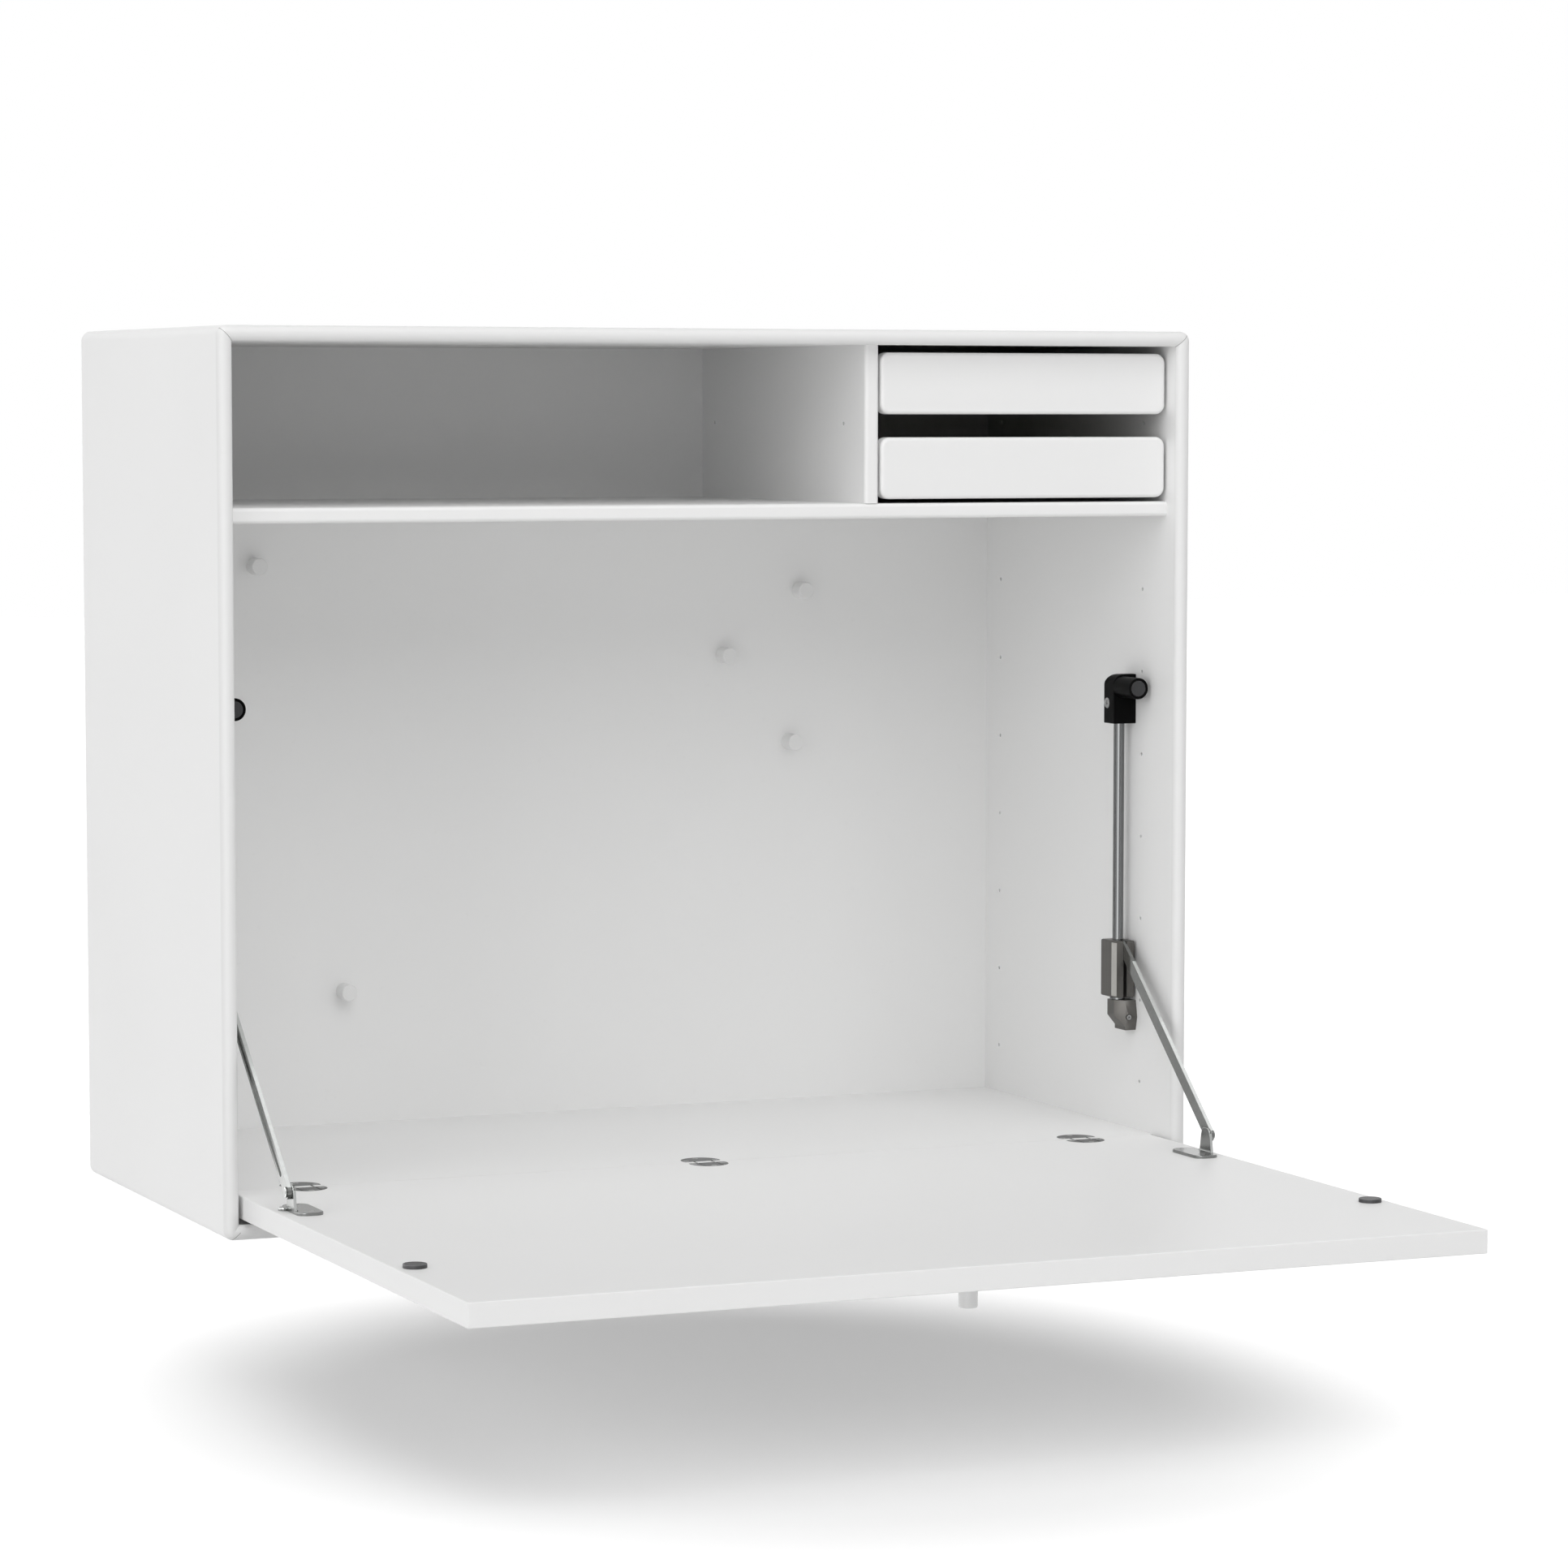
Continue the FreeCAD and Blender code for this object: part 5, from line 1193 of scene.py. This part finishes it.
def screw_tree():
    """A countersunk screw on every point, along the point's attribute `axis`."""
    tree, size = tree_with("cross_head_screw", SCREW_SIZES)
    wire = size["Length"]
    blank = wire.node("GeometryNodeMeshCylinder", {"Vertices": SCREW_SIDES, "Side Segments": SCREW_STEPS,
                                                   "Radius": 1.0, "Depth": 1.0})
    place = wire.node("GeometryNodeInputPosition")
    x, y, z = (wire.node("ShaderNodeSeparateXYZ", {"Vector": place}, output=axis) for axis in "XYZ")
    deep = (z + 0.5) ** 2.0 * size["Length"]
    slope = (size["Head Radius"] - size["Shank Radius"]) / (size["Head Depth"] - size["Rim"])
    rim = size["Head Radius"] - size["Rim"] + deep
    cone = size["Head Radius"] - (deep - size["Rim"]) * slope
    shank = wire.math("MAXIMUM", size["Shank Radius"], wire.math("MINIMUM", rim, cone))
    radius = wire.math("MINIMUM", shank, (size["Length"] - deep) * 0.6 + 0.05)
    shaped = wire.node("ShaderNodeCombineXYZ", {"X": x * radius, "Y": y * radius, "Z": deep})
    body = wire.node("GeometryNodeSetPosition", {"Geometry": blank, "Position": shaped})
    span = size["Head Radius"] * RECESS_SPAN
    bar = wire.node("GeometryNodeMeshCube", {"Size": wire.node("ShaderNodeCombineXYZ", {
        "X": span, "Y": size["Recess Width"], "Z": size["Recess Depth"] * 2.0})})
    narrow = 1.0 - (z > 0.0) * RECESS_TAPER
    tapered = wire.node("ShaderNodeCombineXYZ", {"X": x * narrow, "Y": y * narrow, "Z": z})
    bar = wire.node("GeometryNodeSetPosition", {"Geometry": bar, "Position": tapered})
    crossbar = wire.node("GeometryNodeTransform", {"Geometry": bar, "Rotation": (0.0, 0.0, math.pi / 2)})
    cut = wire.node("GeometryNodeMeshBoolean", {"Mesh 1": body, "Mesh 2": [bar, crossbar]},
                    operation="DIFFERENCE", solver="EXACT")
    axis = wire.node("GeometryNodeInputNamedAttribute", {"Name": "axis"}, data_type="FLOAT_VECTOR")
    toward = wire.node("FunctionNodeAlignRotationToVector", {"Vector": axis}, axis="Z")
    angle = wire.node("FunctionNodeRandomValue", {2: 0.0, 3: math.pi, "Seed": size["Seed"]},
                      output=1, data_type="FLOAT")
    spin = wire.node("FunctionNodeAxisAngleToRotation", {"Axis": (0.0, 0.0, 1.0), "Angle": angle})
    turn = wire.node("FunctionNodeRotateRotation", {"Rotation": toward, "Rotate By": spin},
                     rotation_space="LOCAL")
    placed = wire.node("GeometryNodeInstanceOnPoints",
                       {"Points": size["Geometry"], "Instance": cut, "Rotation": turn})
    close_tree(tree, placed, size["Finish"])
    return tree


screw_shape = screw_tree()
print("screw tree nodes", len(screw_shape.nodes))

# %% [markdown]
# ## Where the screws sit
# The measured model knows every screw already, several of them in one part. The box of each loose
# piece of such a part gives the middle of its head, so no place has to be typed in again.

# %% Screws on points
def seat_of(piece_box, axis):
    """The middle of the outer face of a screw that goes in along an axis."""
    low, high = piece_box
    middle = (low + high) / 2
    return Vector(middle[i] if not axis[i] else (low[i] if axis[i] > 0 else high[i]) for i in (X, Y, Z))


def set_screws(name, seats, body, replaced, seed, **sizes):
    """Screws of one size at a list of (place, axis), as one plain mesh."""
    points = bpy.data.meshes.new(name)
    points.from_pydata([tuple(place) for place, _ in seats], [], [])
    points.attributes.new("axis", "FLOAT_VECTOR", "POINT").data.foreach_set(
        "vector", [value for _, axis in seats for value in axis])
    obj = bpy.data.objects.new(name, points)
    scene.collection.objects.link(obj)
    modifier = obj.modifiers.new("screws", "NODES")
    modifier.node_group = screw_shape
    given = {"Seed": seed, "Finish": finishes["screw_steel"]}
    given.update({size.replace("_", " ").title(): value for size, value in sizes.items()})
    for item in screw_shape.interface.items_tree:
        if item.in_out == "INPUT" and item.name in given:
            modifier[item.identifier] = given[item.name]
    plain_mesh(obj)
    obj.data.transform(Matrix.Scale(MM, 4))
    return settle(even_shading(obj), body, "screw_steel", replaced)


LEFT, RIGHT, DOWN, REAR, FORWARD = (-1, 0, 0), (1, 0, 0), (0, 0, -1), (0, 1, 0), (0, -1, 0)


def seated(pieces, axis):
    """Place and axis of each piece; the axis is one for all, or a function of the piece."""
    ways = [(item, axis(item) if callable(axis) else axis) for item in pieces]
    return [(seat_of(item, way), way) for item, way in ways]


set_screws("hinge_floor_screws", seated(loose_parts("hinge_rear_screws"), DOWN),
           "cabinet", "hinge_rear_screws", 3)
set_screws("hinge_flap_screws", seated(loose_parts("hinge_front_screws"), DOWN),
           "flap", "hinge_front_screws", 5)
set_screws("foot_plate_screws", seated(loose_parts("stay_foot_screws"), DOWN),
           "flap", "stay_foot_screws", 9, length=13.0)

# %% Screws in the brackets, the runners and the rails
ELBOW_SCREW_LEAST = 15.0
BACK_SCREWS = (("hanger", 5.0, 15.0, 9.5), ("batten", 15.0, 25.0, 19.5))

compartment = (box_mm("niche_divider")[1][X] + box_mm("right_side_panel")[0][X]) / 2
bracket_pieces = loose_parts("stay_bracket_screws")
long_ones = [item for item in bracket_pieces if item[1][X] - item[0][X] > ELBOW_SCREW_LEAST]
grubs = [item for item in bracket_pieces if item[1][X] - item[0][X] < ELBOW_SCREW_LEAST]
set_screws("elbow_screws", seated(long_ones, lambda item: RIGHT if item[0][X] > 0 else LEFT),
           "cabinet", "stay_bracket_screws", 11, head_radius=4.6, head_depth=2.6, shank_radius=2.0,
           length=28.6, recess_width=1.2, recess_depth=1.7, rim=0.5)
set_screws("grub_screws", seated(grubs, REAR), "cabinet", "stay_bracket_screws", 13, head_radius=2.15,
           head_depth=4.9, shank_radius=2.1, length=5.0, recess_width=1.0, recess_depth=1.6, rim=0.4)
set_screws("runner_strip_screws",
           seated(loose_parts("runner_screws"), lambda item: RIGHT if item[0][X] > compartment else LEFT),
           "cabinet", "runner_screws", 17)
for label, least, most, length in BACK_SCREWS:
    own = [item for item in loose_parts("back_screws") if least < item[1][Y] - item[0][Y] < most]
    set_screws(label + "_screws", seated(own, FORWARD), "cabinet", "back_screws", 19, head_radius=3.5,
               head_depth=2.2, shank_radius=1.6, length=length, recess_width=1.0, recess_depth=1.2)

# %% [markdown]
# ## Hinge cups and links
# A hinge for a flap is two nickel plated cups, flush with the two boards, and a pair of plates that
# swing between them. Their outlines are already exact in the measured model, so a copy is enough: it
# is merged, its flat faces are joined into single ones, and a small bevel breaks every edge. That
# bevel is marked as worn and highlit, which paints the thin bright line that plated parts show: a
# painted highlight.

# %% Copies with broken edges
FLAT = math.radians(0.4)
CUP_EDGE = 0.22
LINK_EDGE = 0.15


def broken_edges(name, node, body, finish, width, least=50.0):
    """A copy of a measured part whose sharp edges are broken by a small bevel."""
    drawing = bmesh.new()
    drawing.from_mesh(nodes[node].data)
    bmesh.ops.scale(drawing, vec=(1.0 / MM, 1.0 / MM, 1.0 / MM), verts=drawing.verts)
    bmesh.ops.remove_doubles(drawing, verts=drawing.verts, dist=WELD)
    bmesh.ops.dissolve_limit(drawing, angle_limit=FLAT, verts=drawing.verts, edges=drawing.edges)
    drawing.faces.layers.float.new("edge")
    rounded(drawing, lambda item: is_corner(item, least), width, 2)
    piece = new_piece(name, drawing, 1)
    drawing.free()
    return settle(piece, body, finish, node)


for hinge in ("left", "middle", "right"):
    broken_edges(hinge + "_floor_cup", hinge + "_hinge_rear_cup", "cabinet", "nickel_steel", CUP_EDGE)
    broken_edges(hinge + "_flap_cup", hinge + "_hinge_front_cup", "flap", "nickel_steel", CUP_EDGE)
    broken_edges(hinge + "_link_plates", hinge + "_hinge_links", "cabinet", "dark_steel", LINK_EDGE)

# %% [markdown]
# ## Catch discs
# The magnets in the stays hold the closed flap by two pressed steel discs. A press leaves the top very
# slightly dished and its rim rounded, so the disc is turned from a profile, like a coin on a lathe.

# %% Catch discs
DISC_EDGE = 0.6
DISC_DISH = 0.12
SPIGOT_R = 2.0

discs = new_drawing()
for low, high in loose_parts("catch_discs"):
    middle = (low + high) / 2
    radius = (high[X] - low[X]) / 2
    face = box_mm("flap_board")[1][Z]
    thick = high[Z] - face
    root = low[Z] - face
    profile = [(root, 0.0), (root, SPIGOT_R - 0.3), (root + 0.3, SPIGOT_R), (0.0, SPIGOT_R),
               (0.0, radius - 0.2), (0.2, radius), (thick - DISC_EDGE, radius),
               (thick - DISC_EDGE * 0.6, radius - 0.06), (thick - DISC_EDGE * 0.25, radius - 0.2),
               (thick, radius - DISC_EDGE), (thick - DISC_DISH * 0.5, radius * 0.75),
               (thick - DISC_DISH, radius * 0.4), (thick - DISC_DISH, 0.0)]
    turned(discs, (middle[X], middle[Y], face), (0, 0, 1), profile, 72, marked=(6, 7, 8))
settle(new_piece("steel_catch_discs", discs, 1), "flap", "disc_grey", "catch_discs")
discs.free()

# %% [markdown]
# ## Pegs and knob
# Five round pegs on the back panel hold headphones, a bag or a cable, and a knob below the flap opens
# it. They are turned in wood and lacquered with the cabinet. Lacquer rounds every edge a little, so the
# profile ends in a quarter round.

# %% Pegs and knob
PEG_EDGE, PEG_SPIGOT_R = 1.0, 3.0
KNOB_EDGE, KNOB_SPIGOT_R = 1.5, 4.0
TURN_STEPS = 5


def peg(drawing, place, axis, root, radius, length, spigot, edge, sides):
    """A turned peg on a board: a spigot down to `root`, and a shaft whose end is rounded."""
    angles = [math.pi / 2 * step / TURN_STEPS for step in range(TURN_STEPS + 1)]
    profile = [(root, 0.0), (root, spigot), (0.0, spigot), (0.0, radius)]
    profile += [(length - edge + edge * math.sin(a), radius - edge + edge * math.cos(a)) for a in angles]
    turned(drawing, place, axis, profile + [(length, 0.0)], sides)


pegs = new_drawing()
back_face = box_mm("back_panel")[0][Y]
for low, high in loose_parts("back_pegs"):
    peg(pegs, ((low[X] + high[X]) / 2, back_face, (low[Z] + high[Z]) / 2), (0, -1, 0),
        back_face - high[Y], (high[X] - low[X]) / 2, back_face - low[Y], PEG_SPIGOT_R, PEG_EDGE, 48)
settle(new_piece("turned_pegs", pegs, 1), "cabinet", "peg_paint", "back_pegs")
pegs.free()

low, high = box_mm("flap_knob")
under = box_mm("flap_board")[0][Z]
knob = new_drawing()
peg(knob, ((low[X] + high[X]) / 2, (low[Y] + high[Y]) / 2, under), (0, 0, -1),
    under - high[Z], (high[X] - low[X]) / 2, under - low[Z], KNOB_SPIGOT_R, KNOB_EDGE, 56)
settle(new_piece("turned_knob", knob, 1), "flap", "knob_white", "flap_knob")
knob.free()

# %% [markdown]
